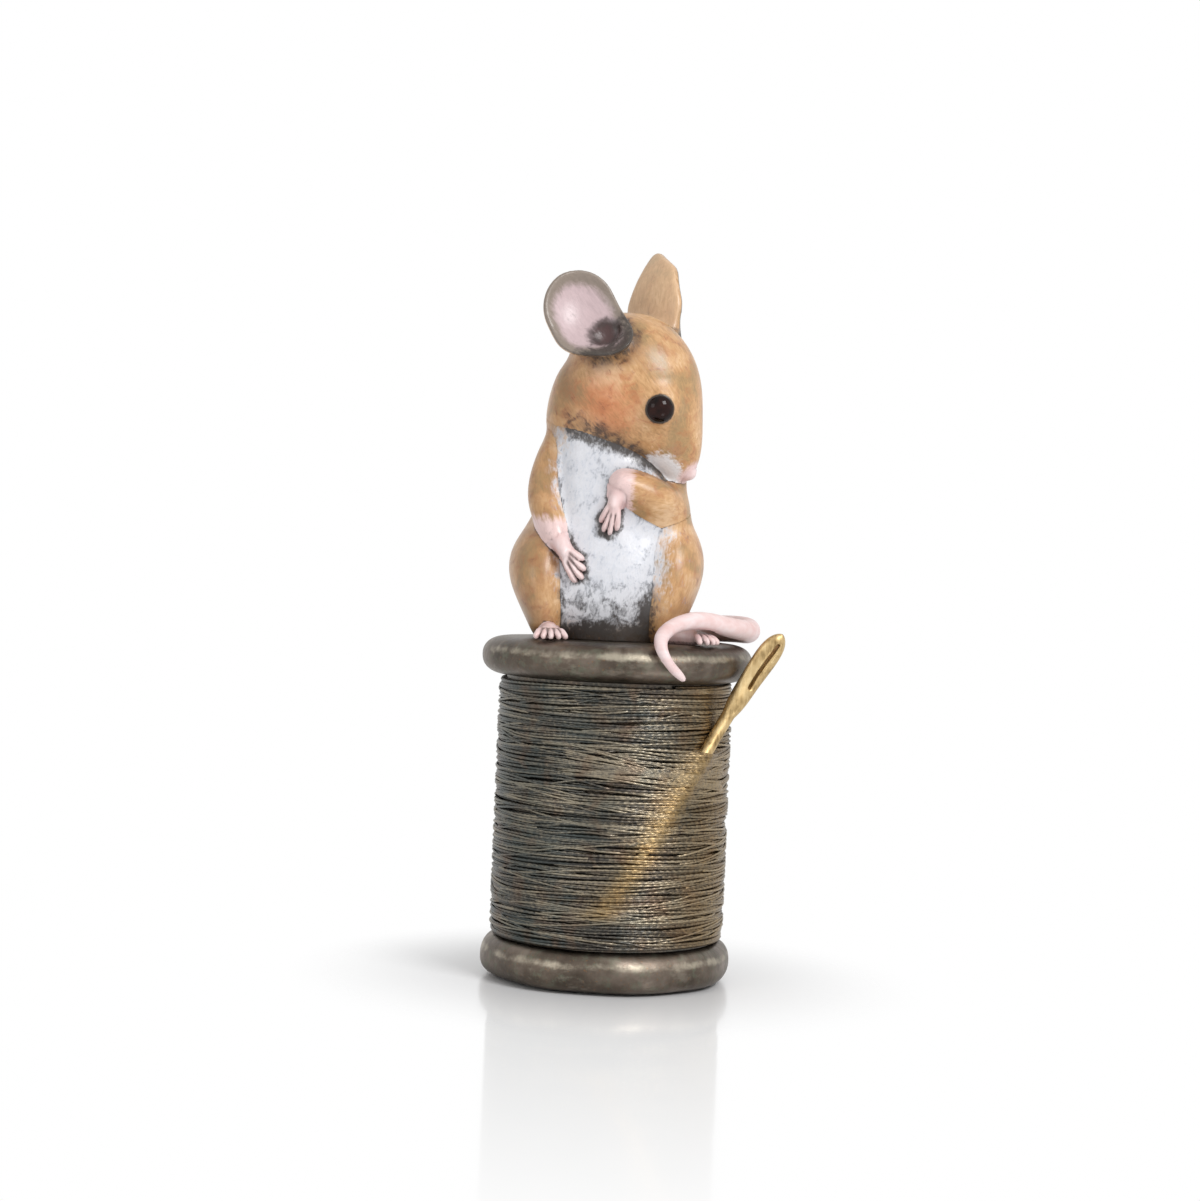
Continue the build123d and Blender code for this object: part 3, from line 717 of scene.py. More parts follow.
def earEdge(name, points):
    # Distance in from the blade's edge, share of the canal's radius, and height above the root
    root, aside, up, _ = earFrame(name)
    flat = np.stack([(points - root) @ aside, (points - root) @ up], axis=1)
    turn = np.linspace(0, 2 * np.pi, earPaint["outlineWays"], endpoint=False)
    ways = np.stack([np.cos(turn), np.sin(turn)])
    reach = np.max([x * ways[0] + y * ways[1] + r for x, y, r in earSet[name]["circles"]], axis=0)
    canal = np.linalg.norm((flat - earSet["canalPlace"]) / earSet["canalSize"][:2], axis=1)
    return np.min(reach - flat @ ways, axis=1), canal, flat[:, 1]


def paintEar(name, points, normals, layers, wash):
    edge, canal, rise = earEdge(name, points)
    inside = (normals @ earFrame(name)[3] - earPaint["turnIn"]) * earPaint["insideGain"]
    depth = earPaint["canalGain"] * (1 - canal)
    layers["earInside"] = inside
    layers["earPink"] = np.minimum(inside, edge - earPaint["rim"])
    layers["canal"] = np.minimum(inside, depth)
    layers["canalRim"] = np.minimum(inside, earPaint["canalRim"] - np.abs(depth))
    layers["earBack"] = -inside - earPaint["backInset"]
    shade = earPaint["backShade"] * (1 - smoothStep(*earPaint["backRise"], rise))
    layers["shade"] = shade * smoothStep(*earPaint["backEdge"], layers["earBack"])
    # Painted shade round the ear's root, where it meets the head
    root = (1 - smoothStep(*earPaint["rootEdge"], edge)) * (1 - smoothStep(*earPaint["rootRise"], rise))
    return np.maximum(earPaint["creviceShare"] * wash, earPaint["rootShade"] * root)


def paintPaw(name, points, normals, layers, wash):
    # Painted shade in the furrows between the digits
    return np.maximum(digitSet["creviceShare"] * wash, digitSet["grooveShade"] * digitGroove(name, points))


painters = {
    "torso": paintTorso, "leg": paintLeg, "head": paintHead, "arm": paintArm, "ear": paintEar,
    "forepaw": paintPaw, "foot": paintPaw,
}


def paintLayers(name, points, normals):
    way = unit(furWays.get(name, (0, 0, 1)))
    shrink = paintSet["bellyShrink" if name == "torso" else "strokeShrink"]
    layers = {layer: np.full(len(points), paintSet["noCoat"]) for layer in coatNames}
    layers["grain"] = points - np.outer(points @ way, way) * (1 - shrink)
    # Painted shade: a brown shade a little way out from neighbours and the reel, and a dark wash close in
    layers["shade"] = smoothStep(*paintSet["hollowEdge"], crowding(points, normals, paintSet["hollow"]))
    crevice = smoothStep(*paintSet["creviceEdge"], crowding(points, normals, paintSet["crevice"]))
    wash = paintSet["creviceShade"] * crevice
    painter = painters.get(name.split("_")[-1])
    if painter:
        wash = painter(name, points, normals, layers, wash)
    layers["tuft"] = np.minimum(layers["belly"] - paintSet["tuftInset"], paintSet["tuftLevel"])
    layers["wash"] = (wash - paintSet["shadeWashMiddle"]) * paintSet["shadeWashGain"]
    layers["shade"] = (layers["shade"] - paintSet["shadeMiddle"]) * paintSet["shadeGain"]
    return layers


def layCoats(tree, colour, coats, *patterns):
    # Each pattern lifts or lowers the edge of a coat by its feather, in mm
    lifts = [addNode(tree, "Math", {"operation": "SUBTRACT", 1: 0.5}, {0: pattern}) for pattern in patterns]
    for layer, tint, softness, strength, *feathers in coats:
        mask = addNode(tree, "Attribute", {"attribute_name": layer}, out="Fac")
        for lift, feather in zip(lifts, feathers):
            mask = addNode(tree, "Math", {"operation": "MULTIPLY_ADD", 1: feather}, {0: lift, 2: mask})
        colour = layCoat(tree, colour, tint, mask, -softness, softness, strength)
    return colour


# Acrylic paint brushed on cast bronze, under satin varnish: short strokes that follow the coat, white
# feathered into tan, and a dark wash of painted shade in the hollows with a brown painted shade round it
furCoats = [
    # layer, colour, softness in mm, how much it covers, stroke and smudge feather in mm
    ("shade", "#86593A", 1.0, 0.55, 2.4, 2.4),
    ("blush", "#D27B4E", 2.8, 0.6, 3.6, 4.5),
    ("bellyEdge", "#7A6D60", 1.2, 0.5, 2.7, 3.6),
    ("belly", "#DEE0E6", 1.1, 0.97, 3.0, 3.9),
    ("tuft", "#A9B0BC", 0.9, 0.5, 4.8, 4.5),
    ("skin", "#EACDC9", 0.6, 1.0, 1.5, 1.5),
    ("earBack", "#DDBE9C", 1.2, 0.6, 3.0, 3.0),
    ("earInside", "#8A7D72", 0.3, 1.0, 0.6, 0.6),
    ("earPink", "#C6B0B2", 0.6, 1.0, 0.9, 0.9),
    ("canal", "#482F2E", 0.4, 1.0, 0.6, 0.9),
    ("canalRim", "#3A2F2D", 0.35, 0.7, 0.9, 1.2),
    # dark wash of painted shade in crevices and between parts
    ("wash", "#38302A", 0.9, 0.94, 2.7, 4.2),
    ("chin", "#E9E9EC", 0.5, 0.95, 1.8, 1.8),
    ("nosePink", "#E9CBC8", 0.5, 1.0, 0.6, 0.9),
    ("lid", "#1C1613", 0.12, 0.97, 0.3, 0.3),
]
furTones = ((0.0, "#A78158"), (1.0, "#E0BC93"), (0.38, "#C39565"), (0.7, "#D2A778"))


def makeFurPaint():
    material, tree = newMaterial("acrylicFur")
    grain = addNode(tree, "Attribute", {"attribute_name": "grain"}, out="Vector")
    inMm = inMillimetres(tree)
    stroke = addNode(tree, "TexNoise", {"Scale": 1 / paintSet["strokeWidth"], "Detail": 3.0, "Roughness": 0.6,
                     "Distortion": 0.5}, {"Vector": grain})
    smudge = addNode(tree, "TexNoise", {"Scale": 1 / paintSet["smudgeWidth"], "Detail": 4.0, "Roughness": 0.6,
                     "Distortion": 0.6}, {"Vector": inMm})
    patch = addNode(tree, "TexNoise", {"Scale": 1 / paintSet["patchWidth"], "Detail": 3.0, "Distortion": 0.4},
                    {"Vector": inMm})
    tone = addNode(tree, "Math", {"operation": "MULTIPLY_ADD", 1: 0.6}, {0: stroke, 2: patch})
    spread = addNode(tree, "MapRange", {"From Min": 0.58, "From Max": 1.02}, {"Value": tone})
    colour = addNode(tree, "ValToRGB", {"stops": furTones}, {"Fac": spread})
    colour = layCoat(tree, colour, "#A08A60", patch, 0.5, 0.36, 0.45)    # dull olive between the patches
    colour = layCoat(tree, colour, "#C77F52", smudge, 0.5, 0.68, 0.4)    # warm smudges
    colour = layCoats(tree, colour, furCoats, stroke, smudge)
    light = addNode(tree, "MapRange", {"From Min": 0.3, "From Max": 0.7, "To Min": 0.9, "To Max": 1.06},
                    {"Value": stroke})
    colour = addNode(tree, "HueSaturation", links={"Color": colour, "Value": light})
    gloss = addNode(tree, "MapRange", {"To Min": 0.24, "To Max": 0.42}, {"Value": stroke})
    bump = addNode(tree, "Bump", {"Strength": 0.45, "Distance": 0.06 * mm}, {"Height": stroke})
    bump = addNode(tree, "Bump", {"Strength": 0.3, "Distance": 0.1 * mm}, {"Height": smudge, "Normal": bump})
    return setShader(material, {"Base Color": colour, "Roughness": gloss, "Normal": bump, "IOR": 1.5})


# The same paint in flesh pink, laid on smoother, with a dark wash of painted shade between the toes and
# fingers
skinCoats = [
    # layer, colour, softness in mm, how much it covers, feather in mm
    ("shade", "#B98482", 0.9, 0.3, 1.2),
    # dark wash of painted shade between the digits and against neighbours
    ("wash", "#4A3632", 0.6, 0.85, 1.2),
]
skinTones = ((0.3, "#E2C0BC"), (0.7, "#F0DDDC"))


def makeSkinPaint():
    material, tree = newMaterial("acrylicSkin")
    grain = addNode(tree, "Attribute", {"attribute_name": "grain"}, out="Vector")
    mottle = addNode(tree, "TexNoise", {"Scale": 1 / paintSet["mottleWidth"], "Detail": 4.0},
                     {"Vector": grain})
    fine = addNode(tree, "TexNoise", {"Scale": 1 / paintSet["poreWidth"], "Detail": 3.0}, {"Vector": grain})
    colour = addNode(tree, "ValToRGB", {"stops": skinTones}, {"Fac": mottle})
    colour = layCoats(tree, colour, skinCoats, fine)
    gloss = addNode(tree, "MapRange", {"To Min": 0.34, "To Max": 0.48}, {"Value": fine})
    bump = addNode(tree, "Bump", {"Strength": 0.4, "Distance": 0.04 * mm}, {"Height": fine})
    return setShader(material, {"Base Color": colour, "Roughness": gloss, "Normal": bump, "IOR": 1.5})


furPaint = makeFurPaint()
skinPaint = makeSkinPaint()
for name in castings:
    points, quads, normals = castingSurface(name)
    paint = paintLayers(name, points, normals)
    isSkin = name in paws or name in ("tail", "nose")
    makePiece(name + "_cast", points, quads, skinPaint if isSkin else furPaint,
              name, normals, paint)


# Black glass eyes: a painted warm brown glow where each eye faces the viewer, darker towards the rim, and a
# clear polished face
def makeEyeGlass():
    material, tree = newMaterial("blackEyeGlass")
    cloud = addNode(tree, "TexNoise", {"Scale": 0.7, "Detail": 2.0}, {"Vector": inMillimetres(tree)})
    facing = addNode(tree, "LayerWeight", {"Blend": 0.5}, out="Facing")
    # Painted glow: brown where the eye faces the viewer, near black towards its rim
    depth = addNode(tree, "Math", {"operation": "MULTIPLY_ADD", 1: -0.5}, {0: facing, 2: cloud})
    colour = addNode(tree, "ValToRGB", {"stops": ((0.2, "#030202"), (0.6, "#301711"))}, {"Fac": depth})
    return setShader(material, {"Base Color": colour, "Roughness": 0.05, "IOR": 1.45,
                                "Specular IOR Level": 0.2})


def dress(material, *names):
    for name in names:
        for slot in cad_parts[name].material_slots:
            slot.material = material


dress(makeEyeGlass(), "right_eye", "left_eye")
print("mouse painted")

# Reel: cast bronze with a brown patina, rubbed bright along the crown of each rim, with a painted highlight
# there
reelSet = {
    "bore": 1.55,            # hole for the stud
    "seat": 7.55,            # where the barrel goes in
    "seatDepth": 1.0,
    "topRimRoot": flangeFace,
    "topRim": 17.35,
    "bottomRimRoot": 13.6,
    "bottomRim": 16.0,
    "bottomBulge": 2.3,      # height of the widest place
    "pad": 13.25,
    "padDepth": 1.0,
    "pocket": 4.0,
    "pocketDepth": 3.4,
    "fullness": 2.3,
    "steps": 288,
    "rimPoints": 41,
    "topPoints": 24,
    "bottomPoints": 10,
    "innerPoints": 8,
    "waver": 0.09,           # hand-made unevenness of the rims
    "waves": 8,
    "waveCounts": (2, 9),
    "rimEdge": (-0.5, 1.2),  # the unevenness comes in across the root of the rim
    "rubAndHighlightRise": 0.9,          # height of the rubbed crown with its painted highlight above the rim's middle, and its width
    "rubAndHighlightEdge": (0.6, 2.0),
    "streakTurn": 5.0,       # smears run round the rim
    "streakRise": 0.6,
    "cloudWidth": 6.25,
    "fleckWidth": 1.3333,
    "pitWidth": 0.3125,
    "seed": 3,
}
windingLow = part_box("bottom_flange")[1].z / mm
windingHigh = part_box("top_flange")[0].z / mm
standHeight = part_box("bottom_flange")[0].z / mm


def rimCurve(root, reach, middle, top, bottom):
    # Half an oval from the top face round to the bottom face
    turn = np.linspace(np.pi / 2, -np.pi / 2, reelSet["rimPoints"])
    power = 2 / reelSet["fullness"]
    out = root + (reach - root) * np.abs(np.cos(turn)) ** power
    rise = np.sign(np.sin(turn)) * np.abs(np.sin(turn)) ** power
    return np.stack([out, middle + rise * np.where(rise > 0, top - middle, middle - bottom)], axis=1)


def lathe(profile, steps, uneven):
    # A closed outline of radius and height, turned round the reel's axis
    turn = np.arange(steps)[:, None] * 2 * np.pi / steps
    radius, height = uneven(turn, profile[None, :, 0], profile[None, :, 1])
    points = np.stack([radius * np.cos(turn), radius * np.sin(turn), height + 0 * turn], axis=2)
    wide = len(profile)
    here, ring = np.arange(steps)[:, None] * wide, np.arange(wide)
    there, after = np.roll(here, -1, axis=0), np.roll(ring, -1)
    quads = np.stack([here + ring, here + after, there + after, there + ring], axis=2)
    return points.reshape(-1, 3), quads.reshape(-1, 4)


def makeFlange(name, profile, rimRoot, seed):
    draw = np.random.default_rng(seed)
    counts = draw.integers(*reelSet["waveCounts"], reelSet["waves"])
    starts = draw.uniform(0, 2 * np.pi, (reelSet["waves"], 2))

    def uneven(turn, radius, height):
        onRim = smoothStep(rimRoot + reelSet["rimEdge"][0], rimRoot + reelSet["rimEdge"][1], radius)
        wave = sum(np.sin(k * turn + p + height * 0.4) for k, (p, _) in zip(counts, starts)) / 2
        heave = sum(np.sin(k * turn + p) for k, (_, p) in zip(counts, starts)) / 2
        radius = radius + reelSet["waver"] * onRim * (wave - 1)
        return radius, height + 0.6 * reelSet["waver"] * onRim * (1 - onRim) * heave

    points, quads = lathe(profile, reelSet["steps"], uneven)
    reach, bearing = np.hypot(points[:, 0], points[:, 1]), np.arctan2(points[:, 1], points[:, 0])
    # Rubbed wear and a painted highlight in a band round the upper crown of the rim
    crownHeight = (profile[:, 1].min() + profile[:, 1].max()) / 2 + reelSet["rubAndHighlightRise"]
    rubAndHighlight = np.exp(-((points[:, 2] - crownHeight) / reelSet["rubAndHighlightRise"]) ** 2)
    rubAndHighlight = rubAndHighlight * smoothStep(rimRoot + reelSet["rubAndHighlightEdge"][0], rimRoot + reelSet["rubAndHighlightEdge"][1], reach)
    streak = np.stack([np.cos(bearing) * reelSet["streakTurn"], np.sin(bearing) * reelSet["streakTurn"],
                       (points[:, 2] + reach) * reelSet["streakRise"]], axis=1)
    makePiece(name + "_turned", points, quads, patina, name,
              paint={"rubAndHighlight": rubAndHighlight, "streak": streak})


# Patinated bronze: a dark brown skin clouded with green, orange where it is thin, and bright along the crown
# of each rim, where hands rub it and where a highlight is painted
def makePatina():
    material, tree = newMaterial("patinatedBronze")
    inMm = inMillimetres(tree)
    cloud = addNode(tree, "TexNoise", {"Scale": 1 / reelSet["cloudWidth"], "Detail": 5.0, "Roughness": 0.6},
                    {"Vector": inMm})
    fleck = addNode(tree, "TexNoise", {"Scale": 1 / reelSet["fleckWidth"], "Detail": 5.0, "Roughness": 0.7},
                    {"Vector": inMm})
    pit = addNode(tree, "TexNoise", {"Scale": 1 / reelSet["pitWidth"], "Detail": 3.0}, {"Vector": inMm})
    band = addNode(tree, "Attribute", {"attribute_name": "streak"}, out="Vector")
    smear = addNode(tree, "TexNoise", {"Scale": 0.9, "Detail": 4.0, "Roughness": 0.65}, {"Vector": band})
    tones = ((0.3, "#443D36"), (0.7, "#80746A"), (0.5, "#5F554C"))
    colour = addNode(tree, "ValToRGB", {"stops": tones}, {"Fac": cloud})
    rubAndHighlight = addNode(tree, "Attribute", {"attribute_name": "rubAndHighlight"}, out="Fac")
    worn = addNode(tree, "Math", {"operation": "MULTIPLY"}, {0: rubAndHighlight, 1: smear})
    tints = [
        (fleck, 0.48, 0.68, 0.55, "#6B6F60"),
        (pit, 0.60, 0.75, 0.45, "#87603C"),
        (smear, 0.52, 0.72, 0.35, "#999083"),
        # pale rubbed wear with a painted highlight, broken up by the smears
        (worn, 0.34, 0.66, 0.6, "#B9B09E"),
    ]
    for source, low, high, strength, tint in tints:
        colour = layCoat(tree, colour, tint, source, low, high, strength)
    gloss = addNode(tree, "MapRange", {"From Min": 0.3, "From Max": 0.7, "To Min": 0.34, "To Max": 0.5},
                    {"Value": fleck})
    bump = addNode(tree, "Bump", {"Strength": 0.45, "Distance": 0.12 * mm}, {"Height": fleck})
    bump = addNode(tree, "Bump", {"Strength": 0.35, "Distance": 0.04 * mm}, {"Height": pit, "Normal": bump})
    return setShader(material, {"Base Color": colour, "Roughness": gloss, "Normal": bump, "Metallic": 1.0})


def makeReel():
    bore, seat, pad, pocket = (reelSet[key] for key in ("bore", "seat", "pad", "pocket"))
    inner = reelSet["innerPoints"]
    root, ceiling = reelSet["topRimRoot"], windingHigh + reelSet["seatDepth"]
    outline = np.concatenate([
        np.linspace((bore, reelTop), (root, reelTop), reelSet["topPoints"], endpoint=False),
        rimCurve(root, reelSet["topRim"], (windingHigh + reelTop) / 2, reelTop, windingHigh),
        np.linspace((root, windingHigh), (seat, windingHigh), inner, endpoint=False)[1:],
        [(seat, windingHigh), (seat, ceiling), (bore, ceiling)],
    ])
    makeFlange("top_flange", outline, root, reelSet["seed"])
    root, floor = reelSet["bottomRimRoot"], windingLow - reelSet["seatDepth"]
    padTop, pocketTop = reelSet["padDepth"], reelSet["pocketDepth"]
    outline = np.concatenate([
        np.linspace((seat, windingLow), (root, windingLow), reelSet["bottomPoints"], endpoint=False),
        rimCurve(root, reelSet["bottomRim"], reelSet["bottomBulge"], windingLow, standHeight),
        [(pad, standHeight), (pad, padTop)],
        np.linspace((pad, padTop), (pocket, padTop), inner, endpoint=False)[1:],
        [(pocket, padTop), (pocket, pocketTop), (bore, pocketTop), (bore, floor), (seat, floor)],
    ])
    makeFlange("bottom_flange", outline, root, reelSet["seed"] + 1)


patina = makePatina()
makeReel()

# Winding: about ninety uneven turns over an under layer, with loose strands that cross them
threadSet = {
    "pitch": 0.36,
    "radius": 0.25,
    "reach": 14.62,          # middle line of the outer layer
    "underReach": 14.38,
    "steps": 120,            # points in one turn
    "underSteps": 72,
    "sides": 6,
    "edge": 0.34,            # room left at the flanges
    "wander": 0.16,
    "crowd": 0.11,
    "crowdWaves": 8,
    "bob": 0.06,
    "ply": 0.9,              # length of one twist, coarser than the real one so that it shows
    "cloudWidth": 5.0,
    "gritWidth": 0.41667,
    "rustWidth": 3.0303,
    "strays": 320,
    "strayRadius": 0.16,
    "strayLift": 0.27,       # how far a loose strand lies above the outer layer
    "straySpan": (30, 120),  # degrees
    "strayRise": 1.4,
    "strayRiseMost": 3.4,
    "strayWave": 0.12,
    "strayEnds": 0.12,       # share of its length over which an end goes under
    "strayTint": (-0.5, 3.0),
    "fan": 26,               # strands drawn together where the needle comes out
    "fanLift": 0.34,
    "fanSpan": (55, 100),
    "fanPast": 30,
    "fanStart": (-3.0, 0.9),
    "fanMeet": (1.2, 5.2),
    "fanWave": 0.1,
    "fanEnds": 0.15,
    "fanTint": (0.4, 3.2),
    "needleRadius": 0.65,
    "needleLow": 8.5,
    "needleFade": 2.5,
    "needleExit": windingHigh - 8.45,
    "exitEdge": (-0.3, 0.5),
    "exitReach": 3.0,
    "dentAngle": 0.09,
    "drag": 0.7,             # how far the turns are drawn down at the needle
    "dragFrom": 17.0,
    "dragEdge": (-0.4, 1.3),
    "dragAngles": (1.5, 0.9),
    "gild": 0.68,            # gold over the buried needle, fanned out towards its exit
    "gildWidth": 2.4,
    "gildFan": 2.6,
    "gildFanFrom": 14.0,
    # painted light: gold laid over the right of the front
    "litSideGold": 0.55,
    "litSideEdge": (0.0, 14.0),
    "shadowEdge": (-13.0, 3.0),
    "frontEdge": (-6.0, 6.0),
    "seed": 5,
}
needleExit = threadSet["needleExit"]
needleTop = needleExit + threadSet["exitReach"]


def drift(draw, count, slow, fast):
    # A smooth random line of unit size: waves of seeded speeds added up
    speeds = draw.uniform(slow, fast, count)
    starts = draw.uniform(0, 2 * np.pi, count)
    sizes = draw.uniform(0.5, 1.0, count)
    total = math.sqrt((sizes ** 2).sum() / 2)
    return lambda t: sum(a * np.sin(f * t + p) for a, f, p in zip(sizes, speeds, starts)) / total


def needleCourse():
    points, _ = nodeTriangles("needle")
    under = points[(points[:, 2] > threadSet["needleLow"]) & (points[:, 2] < needleTop)]
    return [np.polyfit(under[:, 2], under[:, i], 3) for i in (0, 1)]


needleX, needleY = needleCourse()


def besideNeedle(bearing, height):
    # Angle past the needle, and the needle's distance from the axis, at a height
    level = np.clip(height, threadSet["needleLow"], needleTop)
    x, y = np.polyval(needleX, level), np.polyval(needleY, level)
    return (bearing - np.arctan2(y, x) + np.pi) % (2 * np.pi) - np.pi, np.hypot(x, y)


def layOver(bearing, height, reach):
    # Threads are lifted tight over the buried needle, and lie behind it above the place where it comes out
    past, needleReach = besideNeedle(bearing, height)
    room = threadSet["needleRadius"] + threadSet["radius"]
    lift = np.arccos(np.minimum(reach / (needleReach + room), 1.0))
    tent = reach / np.cos(np.maximum(lift - np.abs(past), 0))
    above = smoothStep(needleExit + threadSet["exitEdge"][0], needleExit + threadSet["exitEdge"][1], height)
    low = threadSet["needleLow"]
    covered = smoothStep(low, low + threadSet["needleFade"], height) * (1 - above)
    dent = np.maximum(reach - (needleReach - room), 0) * np.exp(-(past / threadSet["dentAngle"]) ** 2)
    return reach + (tent - reach) * covered - dent * above


def drawnDown(bearing, height):
    past, _ = besideNeedle(bearing, height)
    before, after = threadSet["dragAngles"]
    pull = np.where(past < 0, 1 - smoothStep(0, before, -past), 1 - smoothStep(0, after, past))
    start, end = threadSet["dragEdge"]
    amount = smoothStep(threadSet["dragFrom"], needleExit + start, height)
    return -threadSet["drag"] * amount * (1 - smoothStep(needleExit, needleExit + end, height)) * pull


def tube(centres, radius, sides):
    ahead = np.gradient(centres, axis=0)
    ahead /= np.linalg.norm(ahead, axis=1)[:, None]
    outward = centres * (1, 1, 0)
    outward -= ahead * np.sum(outward * ahead, axis=1)[:, None]
    outward /= np.linalg.norm(outward, axis=1)[:, None]
    aside = np.cross(ahead, outward)
    turn = np.arange(sides) * 2 * np.pi / sides
    spokes = np.cos(turn)[:, None] * outward[:, None] + np.sin(turn)[:, None] * aside[:, None]
    points = centres[:, None] + radius * spokes
    ring = np.arange(sides)
    here = np.arange(len(centres) - 1)[:, None] * sides
    after = (ring + 1) % sides
    quads = np.stack([here + ring, here + after, here + sides + after, here + sides + ring], axis=2)
    last = (len(centres) - 1) * sides
    caps = np.array([(3, 2, 1, 0), (5, 4, 3, 0), (0, 1, 2, 3), (0, 3, 4, 5)])    # two quads close each end
    caps[2:] += last
    length = np.concatenate([[0], np.cumsum(np.linalg.norm(np.diff(centres, axis=0), axis=1))])
    quads = np.concatenate([quads.reshape(-1, 4), caps])
    return points.reshape(-1, 3), quads, np.repeat(length, sides), np.tile(turn, len(centres))


def windingStrands():
    draw = np.random.default_rng(threadSet["seed"])
    low, high = windingLow + threadSet["edge"], windingHigh - threadSet["edge"]
    turns = (high - low) / threadSet["pitch"]
    waves = [(draw.integers(0, 4), draw.uniform(2.6, 8.0), draw.uniform(0, 2 * np.pi))
             for _ in range(threadSet["crowdWaves"])]
    strands = []

    def crowded(bearing, height):
        return sum(np.sin(k * bearing + 2 * np.pi * height / size + start) for k, size, start in waves) / 2

    def drawn(bearing, height):
        return np.clip(height + drawnDown(bearing, height), low, high)

    def lay(bearing, height, radius, tint, thick):
        strands.append((bearing, height, layOver(bearing, height, radius), tint, thick))

    def layLoose(bearing, height, share, kind):
        ends = threadSet[kind + "Ends"]
        buried = smoothStep(0, ends, share) * smoothStep(0, ends, 1 - share)
        rise = threadSet["reach"] + threadSet[kind + "Lift"] - threadSet["underReach"]
        tint = np.full(len(share), draw.uniform(*threadSet[kind + "Tint"]))
        lay(bearing, height, threadSet["underReach"] + rise * buried, tint, threadSet["strayRadius"])

    layers = (
        (threadSet["underReach"], -1, threadSet["underSteps"]),
        (threadSet["reach"], 1, threadSet["steps"]),
    )
    for reach, hand, steps in layers:
        count = np.arange(int(turns * steps)) / steps
        bearing = hand * 2 * np.pi * count
        height = low + threadSet["pitch"] * count
        wander, bob = drift(draw, 16, 2.5, 17.0), drift(draw, 16, 2.5, 17.0)
        height = height + threadSet["wander"] * wander(count) + threadSet["crowd"] * crowded(bearing, height)
        tint = drift(draw, 24, 1.0, 40.0)(count)
        radius = reach + threadSet["bob"] * bob(count)
        lay(bearing, drawn(bearing, height), radius, tint, threadSet["radius"])
    most = threadSet["strayRiseMost"]
    for _ in range(threadSet["strays"]):
        start, span = draw.uniform(0, 2 * np.pi), math.radians(draw.uniform(*threadSet["straySpan"]))
        level = draw.uniform(low + 1, high - 1)
        rise = float(np.clip(draw.normal(0, threadSet["strayRise"]), -most, most))
        share = np.linspace(0, 1, int(math.degrees(span) / 2.5))
        height = level + rise * (share - 0.5) + threadSet["strayWave"] * drift(draw, 5, 2, 9)(share)
        bearing = start + span * share
        layLoose(bearing, drawn(bearing, height), share, "stray")
    exitBearing = math.atan2(np.polyval(needleY, needleExit), np.polyval(needleX, needleExit))
    share = np.linspace(0, 1, 60)
    for _ in range(threadSet["fan"]):
        before = math.radians(draw.uniform(*threadSet["fanSpan"]))
        bearing = exitBearing - before * (1 - share) + math.radians(threadSet["fanPast"]) * share
        level = needleExit + draw.uniform(*threadSet["fanStart"])
        meet = needleExit - draw.uniform(*threadSet["fanMeet"])
        height = level + (meet - level) * smoothStep(0, 0.95, share)
        height = height + threadSet["fanWave"] * drift(draw, 4, 2, 8)(share)
        layLoose(bearing, height, share, "fan")    # it has its own fall, so it isn't drawn down
    return strands


def makeWinding():
    parts = []
    first = 0
    for bearing, height, reach, tint, thick in windingStrands():
        centres = np.stack([reach * np.cos(bearing), reach * np.sin(bearing), height], axis=1)
        points, quads, along, around = tube(centres, thick, threadSet["sides"])
        parts.append((points, quads + first, along, around, np.repeat(tint, threadSet["sides"])))
        first += len(points)
    points, quads, along, around, tint = (np.concatenate(group) for group in zip(*parts))
    x, y, z = points.T
    past, needleReach = besideNeedle(np.arctan2(y, x), z)
    low = threadSet["needleLow"]
    buried = smoothStep(low, low + 1.5, z) * (1 - smoothStep(needleExit, needleExit + 1, z))
    fanned = smoothStep(threadSet["gildFanFrom"], needleExit, z) * (past < 0)
    width = threadSet["gildWidth"] + threadSet["gildFan"] * fanned
    ridge = threadSet["gild"] * np.exp(-(past * needleReach / width) ** 2) * buried
    front = 1 - smoothStep(*threadSet["frontEdge"], y)
    # Painted light: the right of the front is lit gold, beside the real gold over the needle
    side = threadSet["litSideGold"] * smoothStep(*threadSet["litSideEdge"], x) * front
    # Painted shade: the left of the front is darkened
    shadow = (1 - smoothStep(*threadSet["shadowEdge"], x)) * front
    # the gild layer holds both the gold over the needle and the painted light on the right
    layers = {"gild": np.maximum(ridge, side), "leftShade": shadow, "tint": tint, "along": along, "around": around}
    makePiece("thread_wound", points, quads, threadBronze, "thread_turns", paint=layers)


